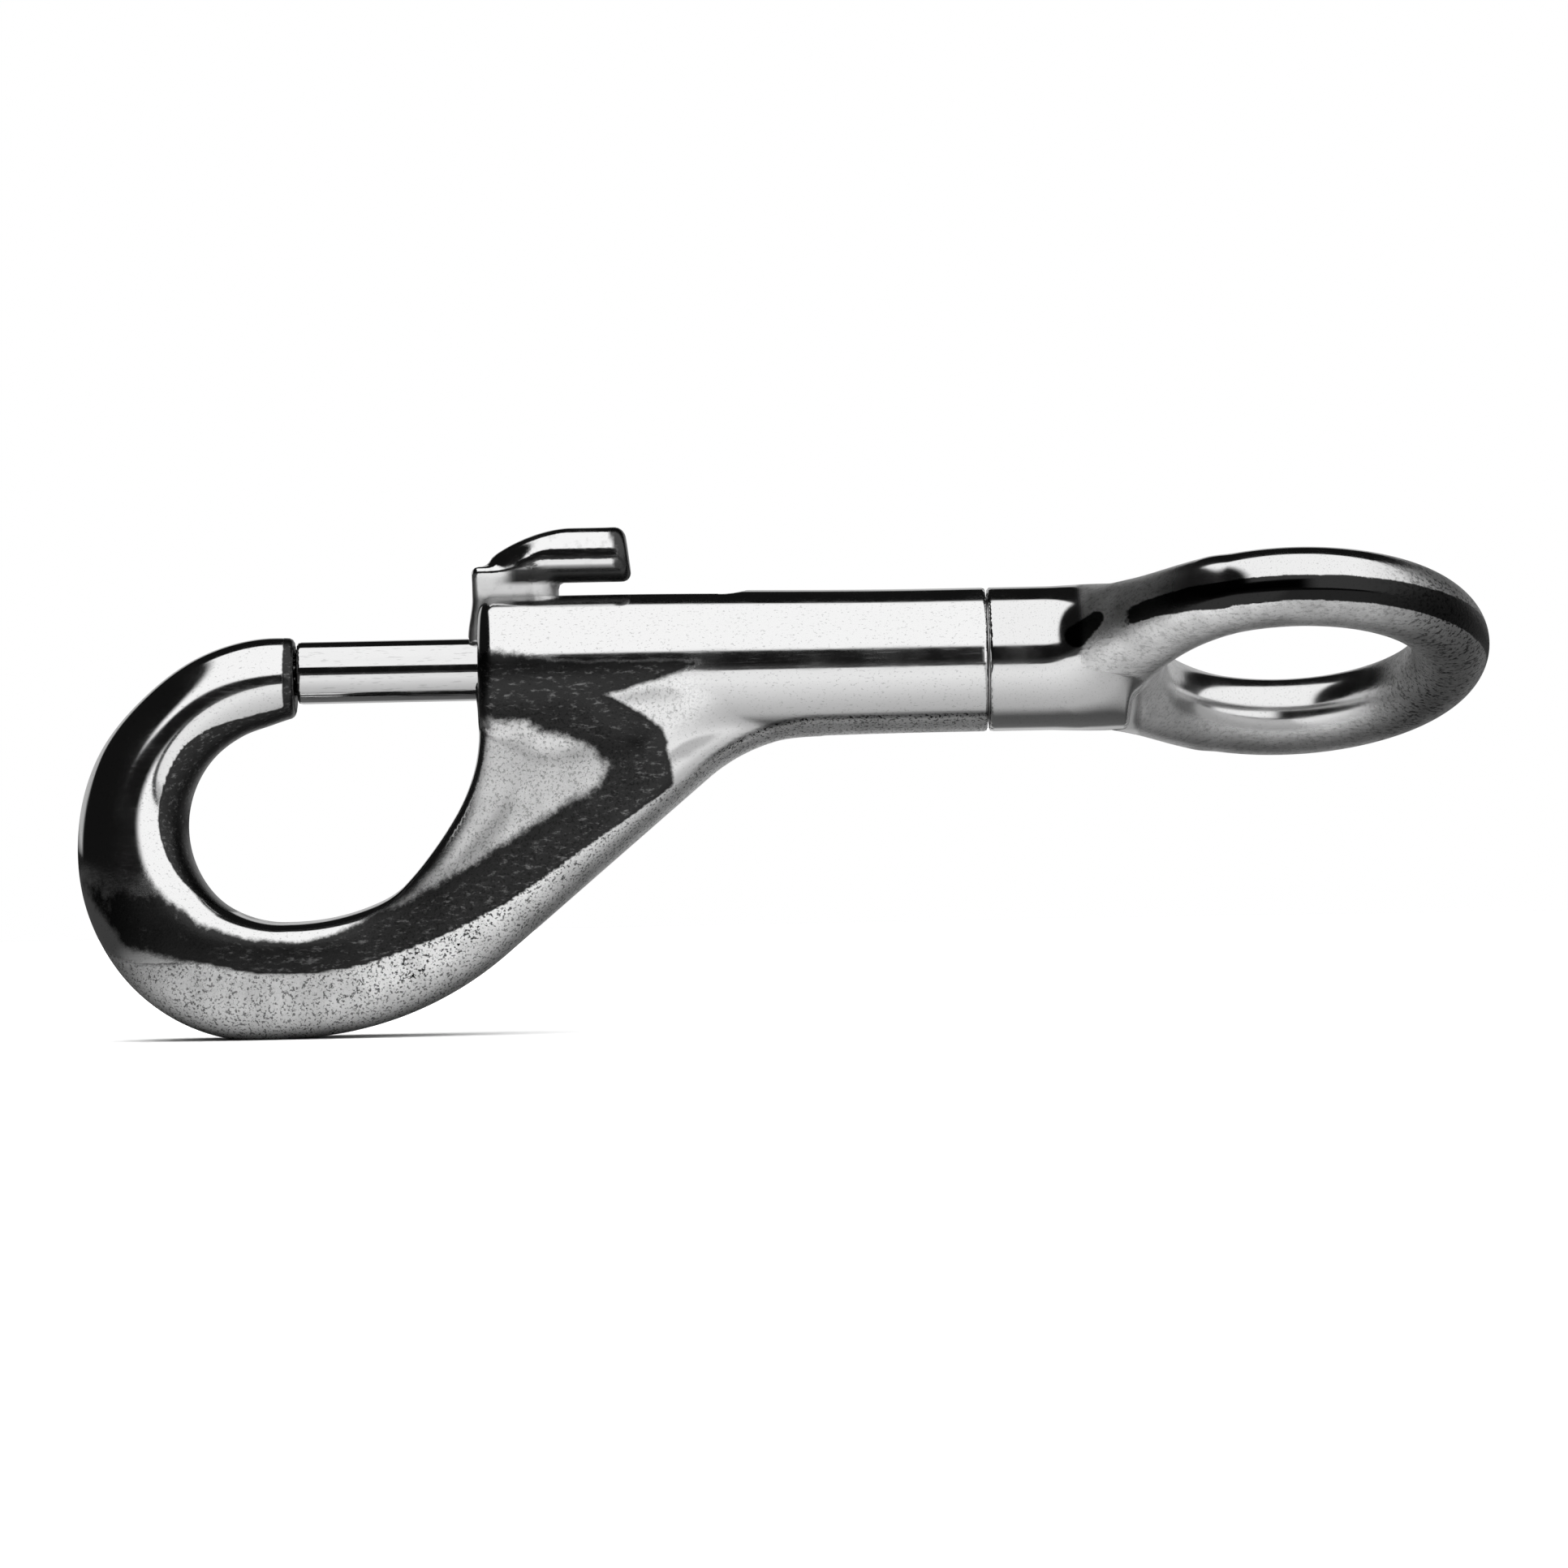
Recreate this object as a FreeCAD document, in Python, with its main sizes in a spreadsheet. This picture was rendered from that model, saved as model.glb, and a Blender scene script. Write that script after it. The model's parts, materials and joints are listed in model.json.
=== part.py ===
"""Swivel-eye bolt snap in stainless steel: a cast hook and barrel, a sprung bolt and a turning eye.

Millimetres. The origin is the centre of the eye, on the barrel's axis. +X runs along that axis from
the hook to the eye's crown, +Z is the side of the thumb lever, and the hook lies in the XZ plane.
"""

import FreeCAD, Part
import math
import os

import Sketcher

# Driving dimensions: alias, value, what it is. Lengths in mm, angles in degrees.
DIMENSIONS = [
    ("eye_bore", 17.4, "inside diameter of the eye"),
    ("eye_bar", 5.5, "thickness of the eye's round bar"),
    ("eye_turn", 22.7, "turn of the eye about the barrel, near side up"),
    ("neck_reach", 6.8, "from the eye's outside to the neck's flat face"),
    ("neck_length", 6.6, "round part of the neck"),
    ("limb_spread", 46.0, "angle of each limb's root, from the axis to the eye's round bar"),
    ("limb_offset", 0.8, "start of each limb's root, off the axis"),
    ("limb_dia", 9.0, "limb's root where it leaves the neck"),
    ("limb_end_dia", 5.8, "limb's root where it runs into the eye's round bar"),
    ("shank_dia", 4.6, "swivel shank"),
    ("run_gap", 0.05, "running clearance of every turning or sliding pair"),
    ("thrust_thick", 0.45, "thrust washer between neck and barrel"),
    ("thrust_inset", 0.65, "how far the thrust washer's rim lies below the barrel's surface"),
    ("bush_dia", 8.0, "outside of the swivel bush"),
    ("bush_length", 4.5, "swivel bush"),
    ("rivet_washer_dia", 6.4, "washer under the rivet head"),
    ("rivet_washer_thick", 0.7, "washer under the rivet head"),
    ("rivet_head_dia", 5.8, "rivet head on the end of the shank"),
    ("rivet_head_height", 1.0, "rivet head on the end of the shank"),
    ("seat_thick", 0.75, "spring seat"),
    ("barrel_dia", 10.2, "outside of the barrel and of the neck"),
    ("barrel_length", 35.9, "barrel from front face to rear face"),
    ("barrel_round", 1.1, "rounding of the barrel's front edge"),
    ("edge_break", 0.3, "small bevel on the turned pieces' edges"),
    ("chamber_dia", 7.0, "spring chamber"),
    ("bolt_dia", 4.4, "bolt"),
    ("bolt_bevel", 0.35, "bevel of the bolt's front edge"),
    ("piston_length", 3.0, "tail of the bolt that fills the chamber"),
    ("piston_room", 0.2, "from the stem's rear to the spring chamber"),
    ("spigot_length", 3.0, "pilot on the bolt's tail, inside the spring"),
    ("nose_dia", 3.0, "pilot on the bolt's front"),
    ("nose_length", 0.7, "pilot on the bolt's front"),
    ("nose_gap", 0.15, "clearance round and ahead of the bolt's front"),
    ("travel", 12.8, "how far the bolt draws back"),
    ("lever_width", 2.8, "lever's stem, across the barrel"),
    ("lever_length", 6.1, "lever's stem, along the barrel"),
    ("lever_lead", 0.4, "how far the stem stands ahead of the barrel"),
    ("slot_gap", 0.1, "clearance on each side of the stem in its slot"),
    ("slot_run_out", 0.3, "slot left behind the stem with the bolt drawn back"),
    ("tenon_dia", 2.6, "lever's round tenon through the bolt"),
    ("thumb_gap", 0.95, "from the barrel's top to the underside of the thumb bar"),
    ("thumb_thick", 3.85, "height of the thumb bar"),
    ("thumb_width", 4.6, "width of the thumb bar"),
    ("thumb_length", 11.3, "thumb bar from the stem's front to its rear end"),
    ("thumb_nose", 0.8, "how far the thumb bar's raked front stands ahead of the stem"),
    ("thumb_rake", 3.6, "from the stem's front to where the thumb bar's top starts"),
    ("thumb_round", 0.9, "rounding of the thumb bar"),
    ("spring_wire", 0.7, "spring wire"),
    ("spring_turns", 7.5, "number of turns of the spring"),
    ("spring_gap", 0.25, "clearance of the spring in its chamber and on the pilot"),
    ("curl_drop", 10.65, "centre of the hook's curl below the axis"),
    ("bowl_small", 7.0, "radius inside the hook's curl"),
    ("bowl_large", 13.4, "radius of the bowl's long side, below the barrel's front"),
    ("bowl_lead", 0.5, "how far the bowl's long side stands ahead of the barrel"),
    ("tip_overhang", 0.8, "straight end of the hook's tip, past the curl"),
    ("tip_top", 2.5, "top of the hook's tip above the axis"),
    ("tip_round", 0.6, "rounding of the hook's end face"),
    ("tip_height", 5.6, "hook bar at the tip, in the hook's plane"),
    ("side_height", 7.8, "hook bar at the curl's side"),
    ("heel_height", 9.05, "hook bar at the curl's lower side"),
    ("base_height", 8.2, "hook bar at the bottom"),
    ("back_height", 8.0, "hook bar on the rising back"),
    ("tip_depth", 5.4, "hook bar at the tip, across the hook's plane"),
    ("side_depth", 6.6, "hook bar at the curl's side, across"),
    ("heel_depth", 7.6, "hook bar at the curl's lower side, across"),
    ("base_depth", 7.4, "hook bar at the bottom, across"),
    ("back_depth", 7.2, "hook bar on the rising back, across"),
    ("back_radius", 24.0, "outside radius where the bottom turns up to the barrel"),
    ("back_slope", 40.0, "slope of the rising back"),
    ("web_thick", 4.4, "web between the hook's back, the barrel and the bowl"),
    ("web_round", 0.6, "rounding of the web's edge at the bowl"),
]

doc = FreeCAD.newDocument("bolt_snap")


def make_sheet():
    """The spreadsheet of driving dimensions, one alias to a row."""
    sheet = doc.addObject("Spreadsheet::Sheet", "dims")
    for row, (alias, size, note) in enumerate(DIMENSIONS, start=1):
        sheet.set(f"A{row}", alias)
        sheet.set(f"B{row}", str(size))
        sheet.set(f"C{row}", note)
        sheet.setAlias(f"B{row}", alias)
    doc.recompute()
    return sheet


dims = make_sheet()

# Places that follow from the dimensions, as expressions on the sheet's cells.
EYE_RADIUS = "((dims.eye_bore + dims.eye_bar) / 2)"
EYE_OUTSIDE = "(dims.eye_bore / 2 + dims.eye_bar)"
BARREL_R = "(dims.barrel_dia / 2)"
NECK_FACE = f"(-{EYE_OUTSIDE} - dims.neck_reach)"
NECK_END = f"({NECK_FACE} + dims.neck_length)"
BARREL_REAR = f"({NECK_FACE} - dims.thrust_thick - dims.run_gap)"
BARREL_FRONT = f"({BARREL_REAR} - dims.barrel_length)"
BUSH_FRONT = f"({BARREL_REAR} - dims.bush_length)"
WASHER_REAR = f"({BUSH_FRONT} - dims.run_gap)"
HEAD_REAR = f"({WASHER_REAR} - dims.rivet_washer_thick)"
HEAD_FRONT = f"({HEAD_REAR} - dims.rivet_head_height)"
SEAT_REAR = f"({HEAD_FRONT} - 2 * dims.run_gap)"
SEAT_FRONT = f"({SEAT_REAR} - dims.seat_thick)"
SHANK_R = "(dims.shank_dia / 2)"
SHANK_BORE_R = f"({SHANK_R} + dims.run_gap)"
BUSH_R = "(dims.bush_dia / 2)"
CHAMBER_R = "(dims.chamber_dia / 2)"
STEM_FRONT = f"({BARREL_FRONT} - dims.lever_lead)"
STEM_REAR = f"({STEM_FRONT} + dims.lever_length)"
STEM_MIDDLE = f"({STEM_FRONT} + dims.lever_length / 2)"
CHAMBER_FRONT = f"({STEM_REAR} + dims.piston_room)"
PISTON_FRONT = f"({CHAMBER_FRONT} + 2 * dims.run_gap)"
PISTON_REAR = f"({PISTON_FRONT} + dims.piston_length)"
PISTON_R = f"({CHAMBER_R} - dims.run_gap)"
SPIGOT_REAR = f"({PISTON_REAR} + dims.spigot_length)"
SPRING_R = f"({CHAMBER_R} - dims.spring_gap - dims.spring_wire / 2)"
SPIGOT_R = f"({SPRING_R} - dims.spring_wire / 2 - dims.spring_gap)"
BOLT_R = "(dims.bolt_dia / 2)"
GUIDE_R = f"({BOLT_R} + dims.run_gap)"
NOSE_R = "(dims.nose_dia / 2)"
BOWL_X = f"({BARREL_FRONT} - dims.bowl_lead - dims.bowl_large)"
CURL_Z = "(-dims.curl_drop)"
BOWL_BOTTOM = f"({CURL_Z} - dims.bowl_small)"
BOWL_Z = f"({BOWL_BOTTOM} + dims.bowl_large)"
BACK_Z = f"({BOWL_BOTTOM} - dims.base_height + dims.back_radius)"
BACK_REACH = "(dims.back_radius - dims.back_height / 2)"
TIP_FACE = f"({BOWL_X} + dims.tip_overhang)"
BOLT_SHOULDER = f"({TIP_FACE} + dims.nose_gap)"
NOSE_FRONT = f"({BOLT_SHOULDER} - dims.nose_length)"
THUMB_UNDER = f"({BARREL_R} + dims.thumb_gap)"
THUMB_MIDDLE = f"({THUMB_UNDER} + dims.thumb_thick / 2)"
THUMB_TOP = f"({THUMB_UNDER} + dims.thumb_thick)"
THUMB_REAR = f"({STEM_FRONT} + dims.thumb_length)"
SLOT_REAR = f"({STEM_REAR} + dims.travel + dims.slot_run_out)"
SLOT_WIDTH = "(dims.lever_width + 2 * dims.slot_gap)"
PASS = "1"  # how far a cutter stands out past what it cuts

pieces = []


def value(expression):
    """The number that an expression on the sheet's cells comes to."""
    return float(dims.evalExpression(f"({expression}) * 1.0"))


def bind(thing, **expressions):
    """Ties properties of a document object to expressions on the sheet's cells."""
    for name, expression in expressions.items():
        thing.setExpression(name, str(expression))


def place(thing, x="0", y="0", z="0", axis=(0, 0, 1), angle="0"):
    """Ties a thing's whole placement to expressions."""
    turn = f"rotation(vector({axis[0]}; {axis[1]}; {axis[2]}); {angle})"
    thing.setExpression("Placement", f"placement(vector({x}; {y}; {z}); {turn})")


def add(kind, name, **expressions):
    """A document object of a kind, with its properties tied to expressions."""
    thing = doc.addObject(kind, name)
    bind(thing, **expressions)
    return thing


def fuse(name, *shapes):
    joined = doc.addObject("Part::MultiFuse", name)
    joined.Shapes = list(shapes)
    return joined


def cut(name, base, tool):
    rest = doc.addObject("Part::Cut", name)
    rest.Base = base
    rest.Tool = tool
    return rest


def piece(thing, label):
    """The thing is a piece of the snap, and its label is the piece's name."""
    thing.Label = label
    pieces.append(thing)


def sketch_on(body, name, role="XZ_Plane"):
    """An empty sketch on one of the body's own origin planes."""
    plane = next(f for f in body.Origin.OriginFeatures if f.Role == role)
    sketch = body.newObject("Sketcher::SketchObject", name)
    sketch.AttachmentSupport = [(plane, "")]
    sketch.MapMode = "FlatFace"
    return sketch


def tie(sketch, rule, expression):
    """Adds a sketch constraint whose value is an expression."""
    sketch.setExpression(f"Constraints[{sketch.addConstraint(rule)}]", expression)


def outline(sketch, corners):
    """A closed outline of straight lines whose every corner is a pair of expressions."""
    points = [FreeCAD.Vector(value(x), value(y), 0) for x, y in corners]
    count = len(points)
    for i, point in enumerate(points):
        sketch.addGeometry(Part.LineSegment(point, points[(i + 1) % count]))
    for i in range(count):
        sketch.addConstraint(Sketcher.Constraint("Coincident", i, 2, (i + 1) % count, 1))
    for i, ((x, y), point) in enumerate(zip(corners, points)):
        tie(sketch, Sketcher.Constraint("DistanceX", -1, 1, i, 1, point.x), x)
        tie(sketch, Sketcher.Constraint("DistanceY", -1, 1, i, 1, point.y), y)


def circle(sketch, x, y, radius):
    """A circle whose centre and radius are expressions."""
    centre = FreeCAD.Vector(value(x), value(y), 0)
    number = sketch.addGeometry(Part.Circle(centre, FreeCAD.Vector(0, 0, 1), value(radius)))
    tie(sketch, Sketcher.Constraint("DistanceX", -1, 1, number, 3, centre.x), x)
    tie(sketch, Sketcher.Constraint("DistanceY", -1, 1, number, 3, centre.y), y)
    tie(sketch, Sketcher.Constraint("Radius", number, value(radius)), radius)


def turned(name, corners):
    """A body turned about the X axis from a profile of (x, radius) corners."""
    body = doc.addObject("PartDesign::Body", name)
    profile = sketch_on(body, f"{name}_profile")
    outline(profile, corners)
    turn = body.newObject("PartDesign::Revolution", f"{name}_turned")
    turn.Profile = profile
    turn.ReferenceAxis = (profile, ["H_Axis"])
    turn.Angle = 360
    doc.recompute()
    return body


def ring(name, front, rear, radius, bore):
    """A flat ring about the X axis."""
    return turned(name, [(front, bore), (rear, bore), (rear, radius), (front, radius)])


def pad(body, sketch, length):
    """Raises a sketch to both sides of its plane."""
    feature = body.newObject("PartDesign::Pad", f"{sketch.Name}_pad")
    feature.Profile = sketch
    feature.SideType = "Symmetric"
    bind(feature, Length=length)
    doc.recompute()


def cut_through(body, sketch):
    """Cuts a sketch through the body, to both sides of its plane."""
    feature = body.newObject("PartDesign::Pocket", f"{sketch.Name}_cut")
    feature.Profile = sketch
    feature.Type = "ThroughAll"
    feature.SideType = "Symmetric"
    doc.recompute()


def rounded(body, name, radius, choose):
    """Rounds the edges of a body that the test picks."""
    tip = body.Tip
    edges = [f"Edge{i}" for i, edge in enumerate(tip.Shape.Edges, start=1) if choose(edge)]
    if not edges:
        raise ValueError(f"{name} found no edge to round")
    fillet = body.newObject("PartDesign::Fillet", name)
    fillet.Base = (tip, edges)
    bind(fillet, Radius=radius)
    doc.recompute()


def barrel():
    """The plain outside of the barrel, with a rounded front edge."""
    body = turned(
        "barrel_blank",
        [
            (BARREL_FRONT, "0"),
            (BARREL_REAR, "0"),
            (BARREL_REAR, f"{BARREL_R} - dims.edge_break"),
            (f"{BARREL_REAR} - dims.edge_break", BARREL_R),
            (BARREL_FRONT, BARREL_R),
        ],
    )
    front, radius = value(BARREL_FRONT), value(BARREL_R)

    def front_rim(edge):
        box = edge.BoundBox
        return box.XMax < front + 0.01 and box.ZMax > radius - 0.01

    rounded(body, "barrel_front_round", "dims.barrel_round", front_rim)
    return body


# Stations round the curl: angle about the curl's centre, the two sizes of the bar that the
# station lies between, and how far it is towards the second.
CURL_STATIONS = [
    (90, "tip", "side", 0.25),
    (112, "tip", "side", 0.35),
    (135, "tip", "side", 0.45),
    (158, "tip", "side", 0.78),
    (180, "side", "heel", 0.0),
    (205, "side", "heel", 0.6),
    (230, "side", "heel", 1.0),
    (250, "heel", "base", 0.4),
    (270, "heel", "base", 1.0),
]
BACK_SHARES = (0.35, 0.7, 1.0)
ROOT_SHARE = 0.17  # how far below the axis the bar ends inside the barrel, against its height
WEB_LOW_ANGLE = 72  # where the web's edge runs out into the bar, below the bowl's middle
WEB_DEPTH_IN = 0.6  # how far the web runs up into the barrel


def mix(first, second, share):
    """The expression a share of the way from one size to the next."""
    return f"({first} * {1 - share:.4g} + {second} * {share:.4g})"


def back_point(share):
    """A point of the bar's middle line where the bottom turns up, a share of the way round."""
    angle = f"(dims.back_slope * {share} * 1 deg)"
    x = f"({BOWL_X} + {BACK_REACH} * sin({angle}))"
    z = f"({BACK_Z} - {BACK_REACH} * cos({angle}))"
    return x, z


def up_the_back(z):
    """The x of the rising back's middle line at a height."""
    turn_x, turn_z = back_point(1.0)
    return f"({turn_x} + ({z} - {turn_z}) / tan(dims.back_slope * 1 deg))"


def hook_stations():
    """Oval sections of the hook's bar as (x, z, angle, height, depth), tip to root."""
    yield TIP_FACE, "dims.tip_top - dims.tip_height / 2", "90", "dims.tip_height", "dims.tip_depth"
    for angle, first, second, share in CURL_STATIONS:
        height = mix(f"dims.{first}_height", f"dims.{second}_height", share)
        depth = mix(f"dims.{first}_depth", f"dims.{second}_depth", share)
        reach = f"(dims.bowl_small + {height} / 2)"
        x = f"{BOWL_X} + {reach} * {math.cos(math.radians(angle)):.6f}"
        z = f"{CURL_Z} + {reach} * {math.sin(math.radians(angle)):.6f}"
        yield x, z, str(angle), height, depth
    for share in BACK_SHARES:
        x, z = back_point(share)
        height = mix("dims.base_height", "dims.back_height", share)
        depth = mix("dims.base_depth", "dims.back_depth", share)
        yield x, z, f"270 + dims.back_slope * {share}", height, depth
    root_z = f"(-dims.back_height * {ROOT_SHARE})"
    for z in (mix(back_point(1.0)[1], root_z, 0.5), root_z):
        yield up_the_back(z), z, "270 + dims.back_slope", "dims.back_height", "dims.back_depth"


def hook_bar():
    """The hook's bar, lofted through its oval sections from the tip to the root."""
    ovals = []
    for number, (x, z, angle, height, depth) in enumerate(hook_stations()):
        oval = add(
            "Part::Ellipse",
            f"hook_oval_{number}",
            MajorRadius=f"{height} / 2",
            MinorRadius=f"{depth} / 2",
        )
        place(oval, x=x, z=z, axis=(0, 1, 0), angle=f"-({angle})")
        ovals.append(oval)
    loft = doc.addObject("Part::Loft", "hook_bar")
    loft.Sections = ovals
    loft.Solid = True
    loft.Ruled = False
    loft.MaxDegree = 5
    doc.recompute()
    end = doc.addObject("Part::Fillet", "hook_bar_end")
    end.Base = loft
    radius = value("dims.tip_round")
    face = value(TIP_FACE)
    edges = [
        (i, radius, radius)
        for i, edge in enumerate(loft.Shape.Edges, start=1)
        if edge.BoundBox.XMin > face - 0.01 and edge.BoundBox.XMax < face + 0.01
    ]
    end.Edges = edges
    doc.recompute()
    return end


def web():
    """The plate that fills the corner between the bowl, the barrel and the hook's back."""
    body = doc.addObject("PartDesign::Body", "web")
    side = sketch_on(body, "web_side")
    low = math.radians(WEB_LOW_ANGLE)
    top_z = f"(-{BARREL_R} + {WEB_DEPTH_IN})"
    outline(
        side,
        [
            (f"{BOWL_X} + dims.bowl_large", top_z),
            (
                f"{BOWL_X} + dims.bowl_large * {math.cos(low):.6f}",
                f"{BOWL_Z} - dims.bowl_large * {math.sin(low):.6f}",
            ),
            back_point(0.5),
            back_point(1.0),
            (up_the_back(top_z), top_z),
        ],
    )
    pad(body, side, "dims.web_thick")
    bowl = sketch_on(body, "web_bowl")
    circle(bowl, BOWL_X, BOWL_Z, "dims.bowl_large")
    cut_through(body, bowl)
    radius = value("dims.bowl_large")

    def bowl_edge(edge):
        curve = edge.Curve
        return isinstance(curve, Part.Circle) and abs(curve.Radius - radius) < 0.01

    rounded(body, "web_edge_round", "dims.web_round", bowl_edge)
    return body


def bore_core():
    """What is bored out along the axis: guide, spring chamber and the bush's seat."""
    return turned(
        "bore_core",
        [
            (f"{BARREL_FRONT} - {PASS}", "0"),
            (f"{BARREL_REAR} + {PASS}", "0"),
            (f"{BARREL_REAR} + {PASS}", BUSH_R),
            (BUSH_FRONT, BUSH_R),
            (BUSH_FRONT, CHAMBER_R),
            (CHAMBER_FRONT, CHAMBER_R),
            (CHAMBER_FRONT, GUIDE_R),
            (f"{BARREL_FRONT} - {PASS}", GUIDE_R),
        ],
    )


def nose_socket():
    """The dimple in the hook's end face that takes the bolt's front."""
    socket = add(
        "Part::Cylinder",
        "nose_socket",
        Radius=f"{NOSE_R} + dims.nose_gap",
        Height=f"dims.nose_length + {PASS}",
    )
    place(socket, x=f"{NOSE_FRONT} - dims.nose_gap", axis=(0, 1, 0), angle="90")
    return socket


def lever_slot():
    """The slot in the barrel's top, open at the front and round at the rear."""
    sides = add(
        "Part::Box",
        "slot_sides",
        Length=f"{SLOT_REAR} - {SLOT_WIDTH} / 2 - {BARREL_FRONT} + {PASS}",
        Width=SLOT_WIDTH,
        Height=f"{BARREL_R} + {PASS}",
    )
    place(sides, x=f"{BARREL_FRONT} - {PASS}", y=f"-{SLOT_WIDTH} / 2")
    end = add(
        "Part::Cylinder", "slot_end", Radius=f"{SLOT_WIDTH} / 2", Height=f"{BARREL_R} + {PASS}"
    )
    place(end, x=f"{SLOT_REAR} - {SLOT_WIDTH} / 2")
    return fuse("lever_slot", sides, end)


def hook_body():
    """The casting: barrel, web and hook in one piece, bored and slotted."""
    casting = fuse("casting", barrel(), hook_bar(), web())
    machined = fuse("machined_away", bore_core(), nose_socket(), lever_slot())
    piece(cut("hook_body_cut", casting, machined), "hook_body")


def bolt():
    """The sliding bolt: front pilot, rod, piston and rear pilot, cross-drilled for the lever."""
    body = turned(
        "bolt_bar",
        [
            (NOSE_FRONT, "0"),
            (SPIGOT_REAR, "0"),
            (SPIGOT_REAR, f"{SPIGOT_R} - dims.edge_break"),
            (f"{SPIGOT_REAR} - dims.edge_break", SPIGOT_R),
            (PISTON_REAR, SPIGOT_R),
            (PISTON_REAR, f"{PISTON_R} - dims.edge_break"),
            (f"{PISTON_REAR} - dims.edge_break", PISTON_R),
            (f"{PISTON_FRONT} + dims.edge_break", PISTON_R),
            (PISTON_FRONT, f"{PISTON_R} - dims.edge_break"),
            (PISTON_FRONT, BOLT_R),
            (f"{BOLT_SHOULDER} + dims.bolt_bevel", BOLT_R),
            (BOLT_SHOULDER, f"{BOLT_R} - dims.bolt_bevel"),
            (BOLT_SHOULDER, NOSE_R),
            (f"{NOSE_FRONT} + dims.edge_break", NOSE_R),
            (NOSE_FRONT, f"{NOSE_R} - dims.edge_break"),
        ],
    )
    hole = sketch_on(body, "tenon_hole", "XY_Plane")
    circle(hole, STEM_MIDDLE, "0", "dims.tenon_dia / 2")
    cut_through(body, hole)
    piece(body, "bolt")


def thumb_lever():
    """The lever: a stem with a round back, a thumb bar on top and a round tenon in the bolt."""
    thumb = doc.addObject("PartDesign::Body", "thumb_bar")
    side = sketch_on(thumb, "thumb_side")
    outline(
        side,
        [
            (f"{STEM_FRONT} - dims.thumb_nose", THUMB_UNDER),
            (THUMB_REAR, THUMB_UNDER),
            (THUMB_REAR, THUMB_TOP),
            (f"{STEM_FRONT} + dims.thumb_rake", THUMB_TOP),
        ],
    )
    pad(thumb, side, "dims.thumb_width")
    rounded(thumb, "thumb_rounding", "dims.thumb_round", lambda edge: True)
    sides = add(
        "Part::Box",
        "stem_sides",
        Length="dims.lever_length - dims.lever_width / 2",
        Width="dims.lever_width",
        Height=THUMB_MIDDLE,
    )
    place(sides, x=STEM_FRONT, y="-dims.lever_width / 2")
    back = add("Part::Cylinder", "stem_back", Radius="dims.lever_width / 2", Height=THUMB_MIDDLE)
    place(back, x=f"{STEM_REAR} - dims.lever_width / 2")
    stem = fuse("lever_stem", sides, back)
    rod = add("Part::Cylinder", "rod_outline", Radius=BOLT_R, Height=f"dims.lever_length + 2 * {PASS}")
    place(rod, x=f"{STEM_FRONT} - {PASS}", axis=(0, 1, 0), angle="90")
    pin = add("Part::Cylinder", "tenon_pin", Radius="dims.tenon_dia / 2", Height=f"2 * {BOLT_R}")
    place(pin, x=STEM_MIDDLE, z=f"-{BOLT_R}")
    tenon = doc.addObject("Part::MultiCommon", "tenon")
    tenon.Shapes = [pin, rod]
    foot = cut("stem_foot", stem, rod)
    piece(fuse("thumb_lever_fuse", thumb, foot, tenon), "thumb_lever")


def bolt_spring():
    """The compression spring between the bolt's piston and the spring seat."""
    length = f"({SEAT_FRONT} - {PISTON_REAR} - dims.spring_wire - 2 * dims.run_gap)"
    start = f"({PISTON_REAR} + dims.spring_wire / 2 + dims.run_gap)"
    line = add(
        "Part::Helix",
        "spring_line",
        Radius=SPRING_R,
        Height=length,
        Pitch=f"{length} / dims.spring_turns",
    )
    place(line, x=start, axis=(0, 1, 0), angle="90")
    wire = add("Part::Circle", "spring_section", Radius="dims.spring_wire / 2")
    place(wire, x=start, z=f"-{SPRING_R}", axis=(1, 0, 0), angle="90")
    coil = doc.addObject("Part::Sweep", "spring_coil")
    coil.Sections = [wire]
    coil.Spine = (line, [])
    coil.Solid = True
    coil.Frenet = True
    piece(coil, "bolt_spring")


def limb_root(name, side):
    """One of the two tapered roots that run from the neck into the eye's round bar."""
    root = add(
        "Part::Cone",
        name,
        Radius1="dims.limb_dia / 2",
        Radius2="dims.limb_end_dia / 2",
        Height=f"({EYE_RADIUS} * sin(dims.limb_spread * 1 deg) - dims.limb_offset)"
        " / sin(dims.limb_spread * 1 deg)",
    )
    swing = f"rotation(vector(0; 0; 1); {side} * dims.limb_spread)"
    tip_over = "rotation(vector(0; 1; 0); 90)"
    turn = "rotation(vector(1; 0; 0); -dims.eye_turn)"
    start = f"vector(-{EYE_RADIUS}; {side} * dims.limb_offset; 0)"
    root.setExpression(
        "Placement",
        f"placement(vector(0; 0; 0); {turn}) * placement({start}; {swing} * {tip_over})",
    )
    return root


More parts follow.
